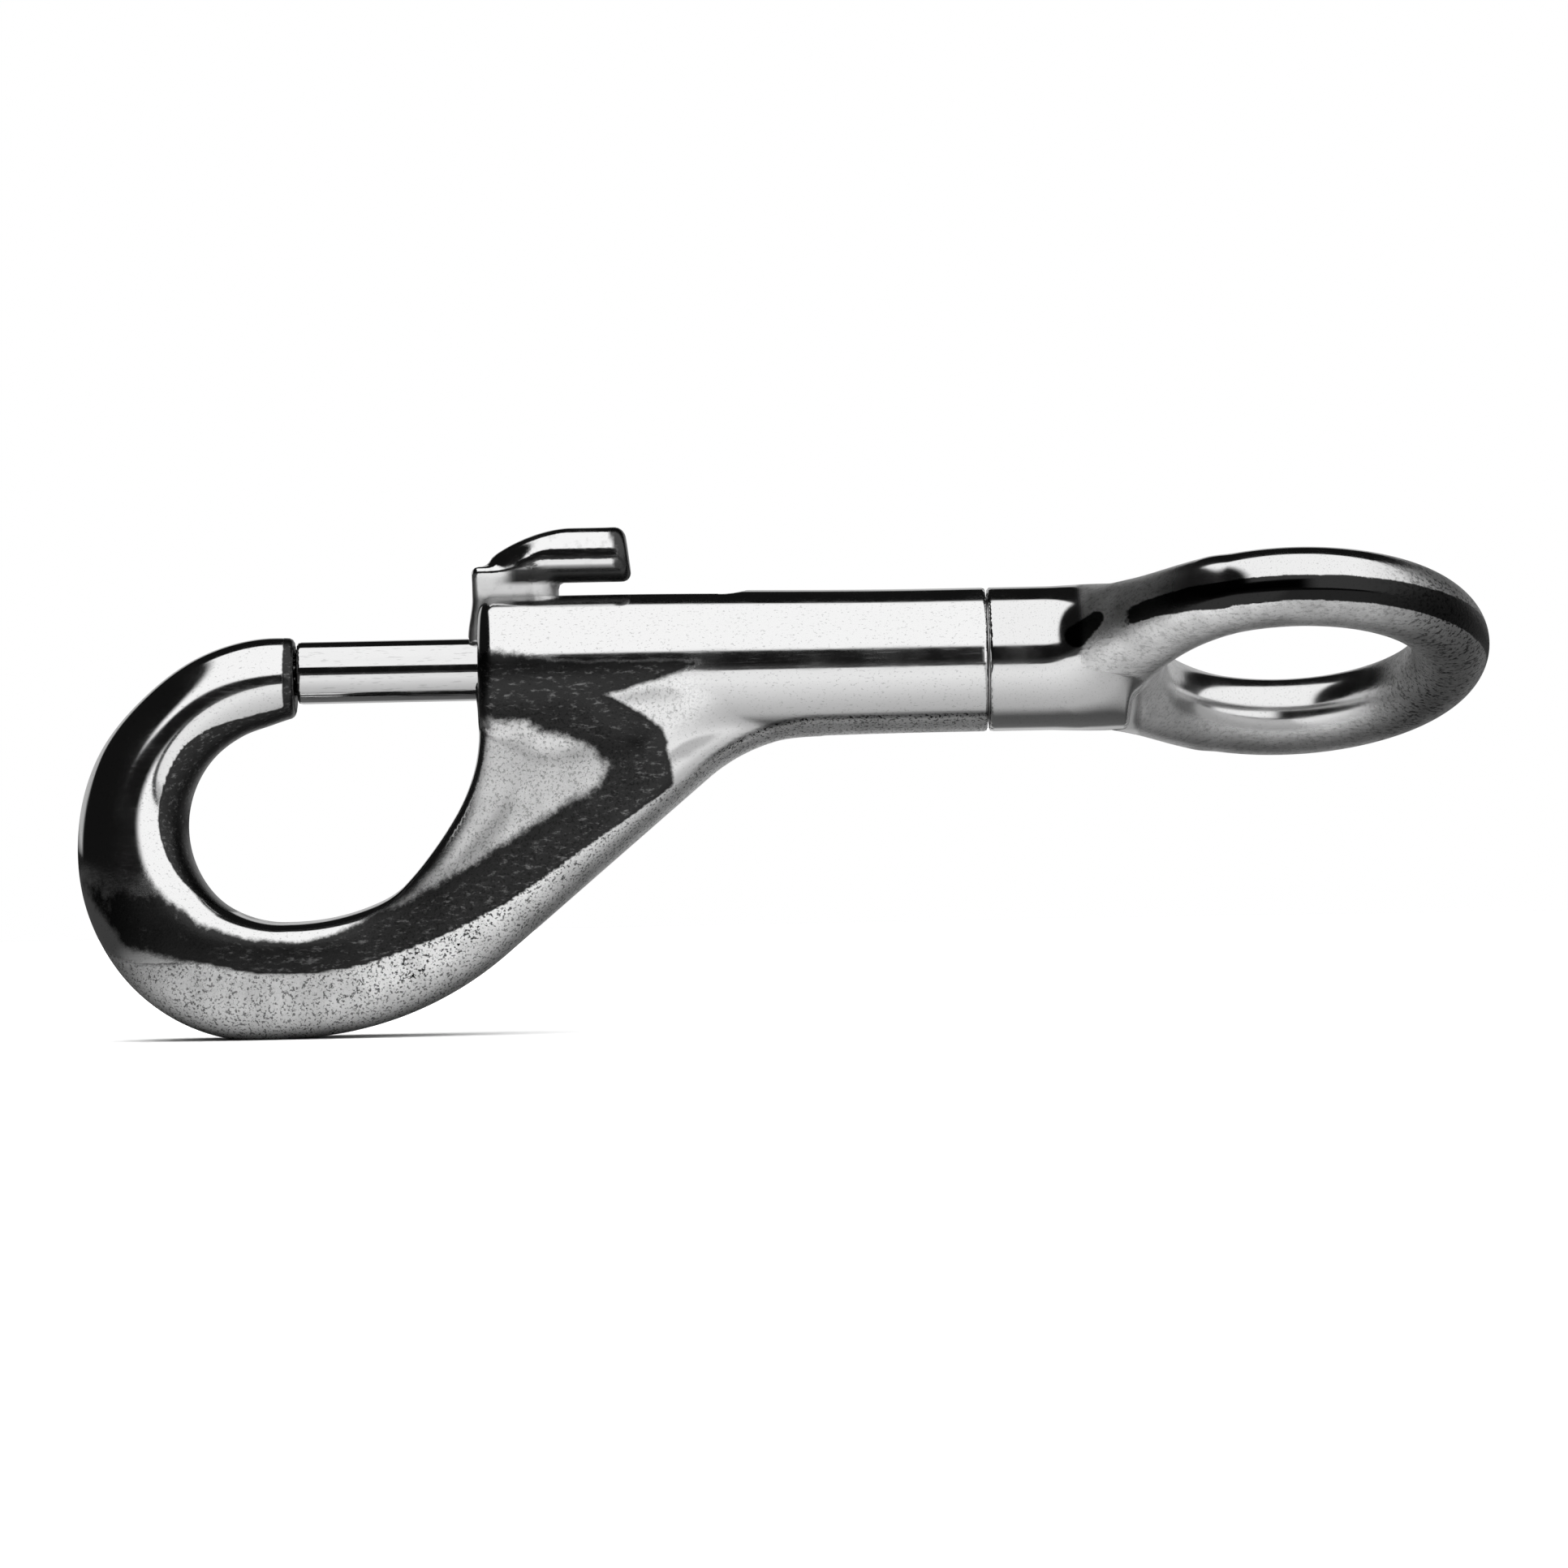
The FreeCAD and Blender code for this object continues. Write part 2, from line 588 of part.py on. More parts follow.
def swivel_eye():
    """The eye with its neck, its shank and the rivet head that holds it in the barrel."""
    eye = add("Part::Torus", "eye_ring", Radius1=EYE_RADIUS, Radius2="dims.eye_bar / 2")
    place(eye, axis=(1, 0, 0), angle="-dims.eye_turn")
    head_r = "(dims.rivet_head_dia / 2)"
    neck = turned(
        "neck",
        [
            (HEAD_FRONT, "0"),
            (NECK_END, "0"),
            (NECK_END, BARREL_R),
            (f"{NECK_FACE} + dims.edge_break", BARREL_R),
            (NECK_FACE, f"{BARREL_R} - dims.edge_break"),
            (NECK_FACE, SHANK_R),
            (HEAD_REAR, SHANK_R),
            (HEAD_REAR, head_r),
            (f"{HEAD_FRONT} + dims.rivet_head_height / 2", head_r),
            (HEAD_FRONT, f"{head_r} - dims.rivet_head_height / 2"),
        ],
    )
    roots = fuse("limb_roots", limb_root("near_root", -1), limb_root("far_root", 1), neck)
    hole = add("Part::Cylinder", "eye_hole", Radius=EYE_RADIUS, Height="2 * dims.barrel_dia")
    drop = "placement(vector(0; 0; -dims.barrel_dia); rotation(vector(0; 0; 1); 0))"
    turn = "placement(vector(0; 0; 0); rotation(vector(1; 0; 0); -dims.eye_turn))"
    hole.setExpression("Placement", f"{turn} * {drop}")
    piece(fuse("swivel_eye_fuse", eye, cut("roots_outside", roots, hole)), "swivel_eye")


def swivel_rings():
    """The rings of the swivel and the plug that the spring bears on."""
    thrust_front = f"({BARREL_REAR} + dims.run_gap)"
    thrust_r = f"({BARREL_R} - dims.thrust_inset)"
    washer_r = "(dims.rivet_washer_dia / 2)"
    piece(ring("thrust_ring", thrust_front, NECK_FACE, thrust_r, SHANK_BORE_R), "thrust_washer")
    piece(ring("bush_ring", BUSH_FRONT, BARREL_REAR, BUSH_R, SHANK_BORE_R), "swivel_bush")
    piece(ring("rivet_ring", HEAD_REAR, WASHER_REAR, washer_r, SHANK_R), "rivet_washer")
    corners = [(SEAT_FRONT, "0"), (SEAT_REAR, "0"), (SEAT_REAR, CHAMBER_R), (SEAT_FRONT, CHAMBER_R)]
    piece(turned("seat_disc", corners), "spring_seat")


def check():
    """Stops the build if any object failed or any piece is empty or not valid."""
    for thing in doc.Objects:
        if "Invalid" in thing.State or "Error" in thing.State:
            raise RuntimeError(f"{thing.Name} failed: {thing.State}")
    for thing in pieces:
        if thing.Shape.isNull() or not thing.Shape.isValid() or len(thing.Shape.Solids) != 1:
            raise RuntimeError(f"{thing.Label} is not one valid solid")


for make in (hook_body, bolt, thumb_lever, bolt_spring, swivel_eye, swivel_rings):
    make()
doc.recompute()
check()
os.makedirs("parts", exist_ok=True)
for made in pieces:
    made.Shape.exportStep(f"parts/{made.Label}.step")
    print(f"{made.Label}: {made.Shape.Volume:.1f} cubic mm")
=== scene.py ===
"""A stainless swivel-eye bolt snap on a pale studio floor.

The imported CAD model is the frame. The cast hook, the forged eye, the thumb lever and the bolt are
remade as closed meshes skinned over smooth distance fields, and the spring as a coil. The bush, the
two washers and the spring's seat keep their own shapes. Shapes are worked out in millimetres, in the
frame's own axes: X along the barrel towards the eye, Z towards the thumb lever, and the hook in the
XZ plane.
"""

import json
import math

import bpy
import numpy as np
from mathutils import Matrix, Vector


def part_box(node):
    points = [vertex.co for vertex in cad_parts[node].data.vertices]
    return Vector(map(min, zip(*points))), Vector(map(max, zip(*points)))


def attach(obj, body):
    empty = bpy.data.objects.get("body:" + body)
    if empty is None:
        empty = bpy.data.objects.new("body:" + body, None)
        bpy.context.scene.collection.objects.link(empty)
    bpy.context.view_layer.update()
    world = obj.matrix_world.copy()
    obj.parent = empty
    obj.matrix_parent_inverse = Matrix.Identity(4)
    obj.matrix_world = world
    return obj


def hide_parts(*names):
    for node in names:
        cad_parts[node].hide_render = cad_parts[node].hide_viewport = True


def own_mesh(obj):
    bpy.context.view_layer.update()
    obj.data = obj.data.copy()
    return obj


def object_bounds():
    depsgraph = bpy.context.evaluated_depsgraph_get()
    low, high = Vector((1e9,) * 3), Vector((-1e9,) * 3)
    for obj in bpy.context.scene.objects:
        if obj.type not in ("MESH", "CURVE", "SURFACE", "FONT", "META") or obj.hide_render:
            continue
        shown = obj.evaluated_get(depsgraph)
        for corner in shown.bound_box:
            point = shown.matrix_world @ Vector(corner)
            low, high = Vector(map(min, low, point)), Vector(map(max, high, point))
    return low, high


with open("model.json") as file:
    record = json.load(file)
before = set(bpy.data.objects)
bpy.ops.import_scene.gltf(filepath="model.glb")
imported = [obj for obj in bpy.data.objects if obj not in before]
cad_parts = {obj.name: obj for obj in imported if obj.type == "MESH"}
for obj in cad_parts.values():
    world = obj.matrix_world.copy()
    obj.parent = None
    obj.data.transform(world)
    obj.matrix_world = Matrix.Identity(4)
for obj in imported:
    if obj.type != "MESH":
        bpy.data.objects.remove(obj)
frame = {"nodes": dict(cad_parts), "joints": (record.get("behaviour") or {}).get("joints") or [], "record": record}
cad_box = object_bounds()

MM = 0.001

# ---------------------------------------------------------------- sizes taken from the frame


def span(node):
    """Lowest and highest corners of a CAD node, in millimetres."""
    low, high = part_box(node)
    return low / MM, high / MM


_, hook_high = span("hook_body")
bolt_low, bolt_high = span("bolt")
spring_low, spring_high = span("bolt_spring")
eye_low, eye_high = span("swivel_eye")
lever_low, lever_high = span("thumb_lever")
_, thrust_high = span("thrust_washer")
bush_low, bush_high = span("swivel_bush")
_, seat_high = span("spring_seat")
washer_low, _ = span("rivet_washer")
mounts = {mount["name"]: mount for mount in frame["record"]["mounts"]}
joints = {joint["name"]: joint for joint in frame["joints"]}

BARREL_R = hook_high.y
BARREL_REAR = hook_high.x
BARREL_LENGTH = 35.9
BARREL_FRONT = BARREL_REAR - BARREL_LENGTH
CHAMBER_R = seat_high.y
BUSH_R = bush_high.y
BUSH_FRONT = bush_low.x
NECK_FACE = thrust_high.x
EYE_OUTSIDE = eye_high.x
EYE_BORE_R = mounts["swivel_eye"]["dims"]["r_mm"]
EYE_BAR_R = (EYE_OUTSIDE - EYE_BORE_R) / 2
EYE_RING_R = (EYE_OUTSIDE + EYE_BORE_R) / 2
EYE_NORMAL = mounts["swivel_eye"]["axis"]
HEAD_FRONT = eye_low.x
HEAD_REAR = washer_low.x
PISTON_R = bolt_high.y
BOLT_R = 2.2
TRAVEL = joints["bolt_slide"]["range_m"][1] / MM

# ---------------------------------------------------------------- sizes of the shaped pieces

GRID = 0.27  # spacing of the grid that a piece is skinned on
SHAPE_PROBE = 0.02  # step for the slope of a field
SHADE_PROBE = 0.10  # the same for shading, which eases small round edges

BARREL_SWELL = 0.3  # how much wider the barrel is round the slot
BARREL_SWELL_FROM = 32.0  # where that starts and where it is full, behind the front face
BARREL_SWELL_TO = 8.0
BARREL_ROUND = 1.2
REAR_ROUND = 0.2  # rounding of the two edges at the seam between the barrel and the neck
GUIDE_R = BOLT_R + 0.05
SLOT_HALF = 1.5
SLOT_END = BARREL_FRONT + 18.8
CHAMBER_FRONT = BARREL_FRONT + 5.9
BORE_ROUND = 0.3
RUN_OUT = 2.0  # how far a hole or a rod runs on into what it opens into or joins

BOWL_LARGE = 13.4  # radius of the bowl towards the barrel
CURL_X = BARREL_FRONT - 0.5 - BOWL_LARGE
CURL_Z = -10.65
CURL_R = 7.0  # radius of the bowl inside the curl
BOWL_BOTTOM = CURL_Z - CURL_R
BOWL_Z = BOWL_BOTTOM + BOWL_LARGE
TIP_FACE = CURL_X + 0.8
TIP_ROUND = 0.4
SOCKET_R = 1.65
SOCKET_DEPTH = 0.7
BACK_R = 24.0  # outside radius of the back, up to its straight stretch
BACK_SLOPE = 40.0  # slope of the back's straight stretch, in degrees
BACK_TILT = math.radians(BACK_SLOPE)

# The hook's bar round the curl: angle about the curl's centre, radius of the inside, metal from
# the inside to the crown of the section, from the crown to the outside, half the depth, and the
# power of the section's oval: 2 is an ellipse, and more is squarer.
CURL_BAR = (
    (70, 8.2, 2.4, 2.7, 2.7, 1.9),
    (84, 7.55, 2.6, 3.0, 2.75, 1.9),
    (98, 7.05, 3.0, 3.2, 2.9, 1.9),
    (115, 6.95, 3.2, 3.2, 3.05, 2.0),
    (138, 6.95, 3.3, 3.3, 3.2, 2.0),
    (160, 6.95, 3.6, 3.7, 3.4, 2.0),
    (182, 7.0, 3.9, 3.95, 3.65, 2.1),
    (205, 7.1, 4.0, 4.45, 3.95, 2.3),
    (230, 7.2, 3.7, 5.1, 4.2, 2.7),
    (250, 7.1, 3.35, 5.4, 4.3, 3.6),
    (270, 7.0, 3.2, 5.0, 4.3, 4.0),
)
# The same up the back, by the angle from straight down.
BACK_BAR = (
    (0, 3.2, 5.0, 4.3, 4.0),
    (14, 3.45, 4.7, 4.35, 3.8),
    (28, 3.8, 4.3, 4.4, 3.2),
    (40, 4.2, 3.85, 4.4, 2.8),
    (58, 4.9, 3.0, 4.4, 2.3),
    (72, 5.0, 2.5, 4.4, 2.1),
    (82, 4.2, 3.3, 4.1, 2.0),
    (90, 3.0, 5.5, 3.4, 2.0),
    (96, 2.5, 6.5, 3.0, 2.0),
)
BACK_Z = BOWL_BOTTOM - (BACK_BAR[0][1] + BACK_BAR[0][2]) + BACK_R
ROOT_R = 12.5  # outside radius where the back sweeps into the barrel's underside
ROOT_Z = -BARREL_R - ROOT_R
ROOT_X = CURL_X + (BACK_R + ROOT_R + (ROOT_Z - BACK_Z) * math.cos(BACK_TILT)) / math.sin(BACK_TILT)

POCKET_START = BARREL_FRONT + 5.0  # where the fillet between the barrel and the web is full
POCKET_END = BARREL_FRONT + 11.0  # where it starts to fade
POCKET_FADE = 8.0
POCKET_BLEND = 2.4
POCKET_DEPTH = 3.0  # how far under the barrel's middle line it is full
BARREL_BLEND = 0.3  # reach of the fillet between the barrel and the rest
BACK_BLEND = 0.4  # reach of the fillet between the web and the bar, at the bowl's edge
BACK_BLEND_GAIN = 2.2  # what it gains from the bowl's edge inwards
WEB_START = CURL_X + 1.0
WEB_GROWS = 11.0  # how far along X the web takes to come out of the bar
WEB_SUNK = 1.6  # how far inside the bar it starts
WEB_TOP = -1.0
WEB_STOP = 4.5  # how far inside the outer edge of the back the web stops
WEB_FLUSH = 0.45  # how far the web's edge is drawn back to meet the barrel's front
WEB_FLUSH_FROM = -14.0  # the height where that starts
WEB_EDGE = 0.55  # rounding of the web's edge at the bowl
WEB_THIN = 2.9  # half thickness of the web under the barrel's front
WEB_THICK = 4.4  # half thickness at the crown of the back
WEB_SLOPE = 0.16  # how fast it thickens
WEB_CROWN_BLEND = 1.2
WEB_PINCH = 2.0  # how much thinner it starts
WEB_LEAN = 33.0  # the way it thickens, as an angle from straight down towards the eye

SHANK_R = 2.3
RIVET_HEAD_R = 2.9
NECK_LENGTH = 9.4
NECK_SKIRT = 0.36  # the neck's rim, which hides the thrust washer
WASHER_RECESS_R = thrust_high.y + 0.1
LIMB_SPREAD = 60.0  # angle about the eye where the limbs' roots end
LIMB_START = 6.4  # where the roots start, behind the neck's face and beside the axis
LIMB_START_SIDE = 0.6
LIMB_START_R = 4.5
LIMB_END_R = 2.6
LIMB_CLEAR = 1.6  # how far inside the ring's middle line the roots stop, and how round
LIMB_BLEND = 0.8
NECK_BLEND = 1.0
HEAD_ROUND = 0.45

NOSE_R = 1.5  # the bolt's nose, which goes into the socket in the hook's tip
NOSE_ROUND = 0.35
SHOULDER_ROUND = 0.25
PISTON_ROUND = 0.3
SHOULDER_X = TIP_FACE + 0.15
PISTON_LENGTH = 3.0
PISTON_X = CHAMBER_FRONT + 0.1
SPIGOT_R = 2.3

STEM_FRONT = lever_low.x
STEM_LENGTH = 6.1
STEM_HALF = 1.4
STEM_REAR = STEM_FRONT + STEM_LENGTH
STEM_FOOT = 0.35  # how much further forward the stem's foot comes
STEM_SPREAD = 0.3  # share by which the stem is wider under the thumb bar
STEM_LOW = -0.4
STEM_ROUND = 0.45
STEM_BACK_ROUND = 0.4
STEM_X = STEM_REAR - STEM_LENGTH / 2  # the middle of the tenon
TENON_R = 1.3
THUMB_TOP = lever_high.z
THUMB_REAR = lever_high.x
THUMB_HALF = lever_high.y
THUMB_UNDER = BARREL_R + 0.95
THUMB_RAKE = 43.0  # slope of the thumb bar's nose
THUMB_NOSE = 0.9  # height of the nose's foot above the thumb bar's underside
THUMB_NOSE_ROUND = 2.4
THUMB_ROUND = 1.8
THUMB_END_ROUND = 0.7
THUMB_END_LEAN = 0.12

SPRING_TURNS = 7.5  # open turns, between two closed ones
SPRING_WIRE_R = 0.35
SPRING_CLOSED = 0.1  # share of the wire in each closed end
SPRING_CLOSED_PITCH = 1.6  # pitch of a closed turn, in radii of the wire

# ---------------------------------------------------------------- distance fields


def soft_union(first, second, reach):
    """Joins two fields with a fillet that reaches about that far."""
    share = np.clip(0.5 + 0.5 * (second - first) / reach, 0, 1)
    return second + (first - second) * share - reach * share * (1 - share)


def round_cut(first, second, radius):
    """What both fields hold, with a round edge of that radius."""
    a, b = first + radius, second + radius
    return np.minimum(np.maximum(a, b), 0) + np.hypot(np.maximum(a, 0), np.maximum(b, 0)) - radius


def without(field, hole, radius):
    """The field less a hole, with the hole's edge rounded."""
    return round_cut(field, -hole, radius)


def ramp(value, start, end):
    """0 before start, 1 after end, smooth between."""
    share = np.clip((value - start) / (end - start), 0, 1)
    return share * share * (3 - 2 * share)


def along(value, stations, sizes):
    """Sizes that run smoothly through their stations."""
    stations, sizes = np.asarray(stations, float), np.asarray(sizes, float)
    slopes = np.gradient(sizes, stations)
    i = np.clip(np.searchsorted(stations, value) - 1, 0, len(stations) - 2)
    gap = stations[i + 1] - stations[i]
    u = np.clip((value - stations[i]) / gap, 0, 1)
    v = 1 - u
    ends = sizes[i] * (1 + 2 * u) * v * v + sizes[i + 1] * (1 + 2 * v) * u * u
    return ends + gap * u * v * (slopes[i] * v - slopes[i + 1] * u)


def rod(x, across, radius, start, end, edge):
    """A round rod about an axis: x along it, across the distance from it."""
    return round_cut(across - radius, np.maximum(start - x, x - end), edge)


def oval(offset, inward, outward, y, depth, power):
    """An oval whose crown is off its middle: offset is across it, y through it."""
    size = np.where(offset < 0, inward, outward)
    u, v = np.maximum(np.abs(offset) / size, 1e-3), np.maximum(np.abs(y) / depth, 1e-3)
    near = (u**power + v**power) ** (1 / power)
    steep = np.hypot(u ** (power - 1) / size, v ** (power - 1) / depth) / near ** (power - 1)
    return (near - 1) / steep


def from_line(u, v, start, end):
    """Distance from the line between two points of a plane, and the share of the way along it."""
    way_u, way_v = end[0] - start[0], end[1] - start[1]
    on_u, on_v = u - start[0], v - start[1]
    share = np.clip((on_u * way_u + on_v * way_v) / (way_u * way_u + way_v * way_v), 0, 1)
    return np.hypot(on_u - share * way_u, on_v - share * way_v), share


def box(x, y, z, centre, half, edge):
    """A box with rounded edges."""
    q = [np.abs(p - c) - (h - edge) for p, c, h in zip((x, y, z), centre, half)]
    outside = np.sqrt(sum(np.maximum(a, 0) ** 2 for a in q))
    return outside + np.minimum(np.maximum(np.maximum(q[0], q[1]), q[2]), 0) - edge


# ---------------------------------------------------------------- the cast hook


def curl_offset(x, z):
    """Angle about the curl's centre, and the distance from it."""
    angle = np.degrees(np.arctan2(z - CURL_Z, x - CURL_X)) % 360
    return angle, np.hypot(x - CURL_X, z - CURL_Z)


def curl_bar(x, y, z):
    """The hook's bar from the tip round the curl to the bottom."""
    angle, reach = curl_offset(x, z)
    stations, *sizes = zip(*CURL_BAR)
    inside, inward, outward, depth, power = (along(angle, stations, size) for size in sizes)
    return oval(reach - inside - inward, inward, outward, y, depth, power)


def back_offset(x, z):
    """Angle up the back, and how far out a point lies, where the back's outer edge is at BACK_R."""
    angle = np.degrees(np.arctan2(x - CURL_X, BACK_Z - z))
    straight = (x - CURL_X) * math.sin(BACK_TILT) - (z - BACK_Z) * math.cos(BACK_TILT)
    reach = np.where(angle < BACK_SLOPE, np.hypot(x - CURL_X, z - BACK_Z), straight)
    swept = np.degrees(np.arctan2(ROOT_X - x, z - ROOT_Z))
    root = BACK_R + ROOT_R - np.where(x < ROOT_X, np.hypot(x - ROOT_X, z - ROOT_Z), z - ROOT_Z)
    return angle, np.where((swept < BACK_SLOPE) & (z > ROOT_Z), root, reach)


def back_bar(x, y, z):
    """The hook's bar from the bottom up the back, until it has run into the barrel."""
    angle, reach = back_offset(x, z)
    stations, *sizes = zip(*BACK_BAR)
    inward, outward, depth, power = (along(angle, stations, size) for size in sizes)
    bar = oval(reach - (BACK_R - outward), inward, outward, y, depth, power)
    return np.maximum(bar, x - ROOT_X)


def web_plate(x, y, z):
    """The web between bowl, barrel and back, and how far a point lies inside the bowl's edge."""
    _, reach = back_offset(x, z)
    bowl = BOWL_LARGE - np.hypot(x - CURL_X, z - BOWL_Z)
    sunk = 1 - ramp(x, WEB_START, WEB_START + WEB_GROWS)
    flush = WEB_FLUSH * ramp(z, WEB_FLUSH_FROM, -BARREL_R)
    side = np.maximum(bowl + WEB_SUNK * sunk + flush, reach - (BACK_R - WEB_STOP))
    side = np.maximum(side, np.maximum(z - WEB_TOP, WEB_START - x))
    lean = math.radians(WEB_LEAN)
    down = (x - BARREL_FRONT) * math.sin(lean) - (z + BARREL_R) * math.cos(lean)
    half = soft_union(WEB_THIN + WEB_SLOPE * down, WEB_THICK, WEB_CROWN_BLEND) - WEB_PINCH * sunk
    return round_cut(side, np.abs(y) - half, WEB_EDGE), bowl


def barrel_outside(x, y, z):
    """The barrel without its bores, a little wider round the slot."""
    swell = BARREL_SWELL * ramp(BARREL_FRONT - x, -BARREL_SWELL_FROM, -BARREL_SWELL_TO)
    across = np.hypot(y, z) - swell
    front = round_cut(across - BARREL_R, BARREL_FRONT - x, BARREL_ROUND)
    return round_cut(front, x - BARREL_REAR, REAR_ROUND)


def hook_field(x, y, z):
    """The cast hook: barrel, web and bar in one, bored, slotted and dimpled."""
    curl = curl_bar(x, y, z)
    tip = round_cut(curl, np.maximum(x - TIP_FACE, CURL_Z - z), TIP_ROUND)
    bar = np.where(x <= CURL_X, curl, np.minimum(tip, back_bar(x, y, z)))
    plate, bowl = web_plate(x, y, z)
    solid = soft_union(bar, plate, BACK_BLEND + BACK_BLEND_GAIN * ramp(-bowl, 0.5, 4.0))
    pocket = ramp(x, BARREL_FRONT, POCKET_START) * (1 - ramp(x, POCKET_END, POCKET_END + POCKET_FADE))
    reach = BARREL_BLEND + POCKET_BLEND * pocket * ramp(-z, 0.0, POCKET_DEPTH)
    solid = soft_union(solid, barrel_outside(x, y, z), reach)
    across = np.hypot(y, z)
    guide = rod(x, across, GUIDE_R, BARREL_FRONT - RUN_OUT, CHAMBER_FRONT + RUN_OUT, 0.0)
    chamber = rod(x, across, CHAMBER_R, CHAMBER_FRONT, BUSH_FRONT + RUN_OUT, 0.0)
    seat = rod(x, across, BUSH_R, BUSH_FRONT, BARREL_REAR + RUN_OUT, 0.0)
    socket = rod(x, across, SOCKET_R, TIP_FACE - SOCKET_DEPTH, TIP_FACE + RUN_OUT, 0.0)
    slot_end = SLOT_END - SLOT_HALF
    slot = np.hypot(np.maximum(x - slot_end, 0), y) - SLOT_HALF
    slot = np.maximum(np.maximum(slot, -z), BARREL_FRONT - RUN_OUT - x)
    for hole in (guide, chamber, seat, socket, slot):
        solid = without(solid, hole, BORE_ROUND)
    return solid


# ---------------------------------------------------------------- the forged eye


def eye_plane(y, z):
    """How far a point or a direction goes through the eye's plane, and how far sideways in it."""
    _, lean_y, lean_z = EYE_NORMAL
    return y * lean_y + z * lean_z, y * lean_z - z * lean_y


def eye_field(x, y, z):
    """The eye, its neck and shank in one, with the rivet head on the shank's end."""
    through, side = eye_plane(y, z)
    ring = np.hypot(np.hypot(x, side) - EYE_RING_R, through) - EYE_BAR_R
    across = np.hypot(y, z)
    neck = rod(x, across, BARREL_R, NECK_FACE - NECK_SKIRT, NECK_FACE + NECK_LENGTH, REAR_ROUND)
    spread = math.radians(LIMB_SPREAD)
    start = (NECK_FACE + LIMB_START, LIMB_START_SIDE)
    end = (-EYE_RING_R * math.cos(spread), EYE_RING_R * math.sin(spread))
    nearest, share = from_line(x, np.abs(side), start, end)
    roots = np.hypot(nearest, through) - (LIMB_START_R + (LIMB_END_R - LIMB_START_R) * share)
    roots = round_cut(roots, EYE_RING_R - LIMB_CLEAR - np.hypot(x, side), LIMB_CLEAR)
    solid = soft_union(soft_union(ring, roots, LIMB_BLEND), neck, NECK_BLEND)
    solid = np.maximum(solid, -rod(x, across, WASHER_RECESS_R, NECK_FACE - RUN_OUT, NECK_FACE, 0.0))
    shank = rod(x, across, SHANK_R, (HEAD_FRONT + HEAD_REAR) / 2, NECK_FACE + RUN_OUT, 0.0)
    solid = np.minimum(solid, shank)
    return np.minimum(solid, rod(x, across, RIVET_HEAD_R, HEAD_FRONT, HEAD_REAR, HEAD_ROUND))


# ---------------------------------------------------------------- the thumb lever


def lever_stem(x, y, z):
    """The stem, with a half-round back; it spreads under the thumb bar."""
    flare = STEM_FOOT * ramp(-z, -BARREL_R, -BOLT_R)
    high = THUMB_UNDER + 1.2
    middle_z, half_z = (STEM_LOW + high) / 2, (high - STEM_LOW) / 2
    middle_x = (STEM_FRONT + STEM_REAR - STEM_HALF) / 2
    y = y * (1 - STEM_SPREAD * ramp(z, BARREL_R - 0.3, high))
    half = (middle_x - STEM_FRONT, STEM_HALF, half_z)
    block = box(x + flare, y, z, (middle_x, 0, middle_z), half, STEM_ROUND)
    back = np.hypot(x - (STEM_REAR - STEM_HALF), y) - STEM_HALF
    return soft_union(block, round_cut(back, np.abs(z - middle_z) - half_z, STEM_BACK_ROUND), 0.3)


def thumb_bar(x, y, z):
    """The bar that the thumb draws: an oval section, a raked nose and a blunt rear end."""
    middle, half = (THUMB_TOP + THUMB_UNDER) / 2, (THUMB_TOP - THUMB_UNDER) / 2
    wide, tall = (np.abs(p) - (h - THUMB_ROUND) for p, h in ((y, THUMB_HALF), (z - middle, half)))
    section = np.hypot(np.maximum(wide, 0), np.maximum(tall, 0)) - THUMB_ROUND
    section += np.minimum(np.maximum(wide, tall), 0)
    end = x - THUMB_REAR + THUMB_END_LEAN * (z - THUMB_UNDER)
    rear = round_cut(section, end, THUMB_END_ROUND)
    rake = math.radians(THUMB_RAKE)
    nose = (z - THUMB_UNDER - THUMB_NOSE) * math.cos(rake) - (x - STEM_FRONT - 0.3) * math.sin(rake)
    return round_cut(round_cut(rear, nose, THUMB_NOSE_ROUND), STEM_FRONT + 0.2 - x, 0.6)


def lever_field(x, y, z):
    """The lever: stem, thumb bar, and the tenon that goes through the bolt."""
    solid = soft_union(lever_stem(x, y, z), thumb_bar(x, y, z), 0.5)
    across = np.hypot(y, z)
    seated = round_cut(solid, np.maximum(BOLT_R - across, -z), 0.1)
    tenon = np.hypot(x - STEM_X, y) - TENON_R
    return np.minimum(seated, np.maximum(tenon, across - BOLT_R))


# ---------------------------------------------------------------- the bolt


def bolt_field(x, y, z):
    """The bolt in one turning: nose, shank, piston and the spigot that centres the spring."""
    across = np.hypot(y, z)
    piston_rear = PISTON_X + PISTON_LENGTH
    solid = rod(x, across, NOSE_R, bolt_low.x, SHOULDER_X + RUN_OUT, NOSE_ROUND)
    solid = np.minimum(solid, rod(x, across, BOLT_R, SHOULDER_X, PISTON_X + RUN_OUT, SHOULDER_ROUND))
    solid = np.minimum(solid, rod(x, across, PISTON_R, PISTON_X, piston_rear, PISTON_ROUND))
    spigot = rod(x, across, SPIGOT_R, piston_rear - RUN_OUT, bolt_high.x, PISTON_ROUND)
    return np.maximum(np.minimum(solid, spigot), TENON_R - np.hypot(x - STEM_X, y))


# ---------------------------------------------------------------- skinning a field


def slope(field, points, probe=SHAPE_PROBE):
    """Gradient of a field at some points."""
    out = np.empty_like(points)
    for axis in range(3):
        step = np.zeros(3)
        step[axis] = probe
        ahead, behind = points + step, points - step
        out[:, axis] = (field(*ahead.T) - field(*behind.T)) / (2 * probe)
    return out


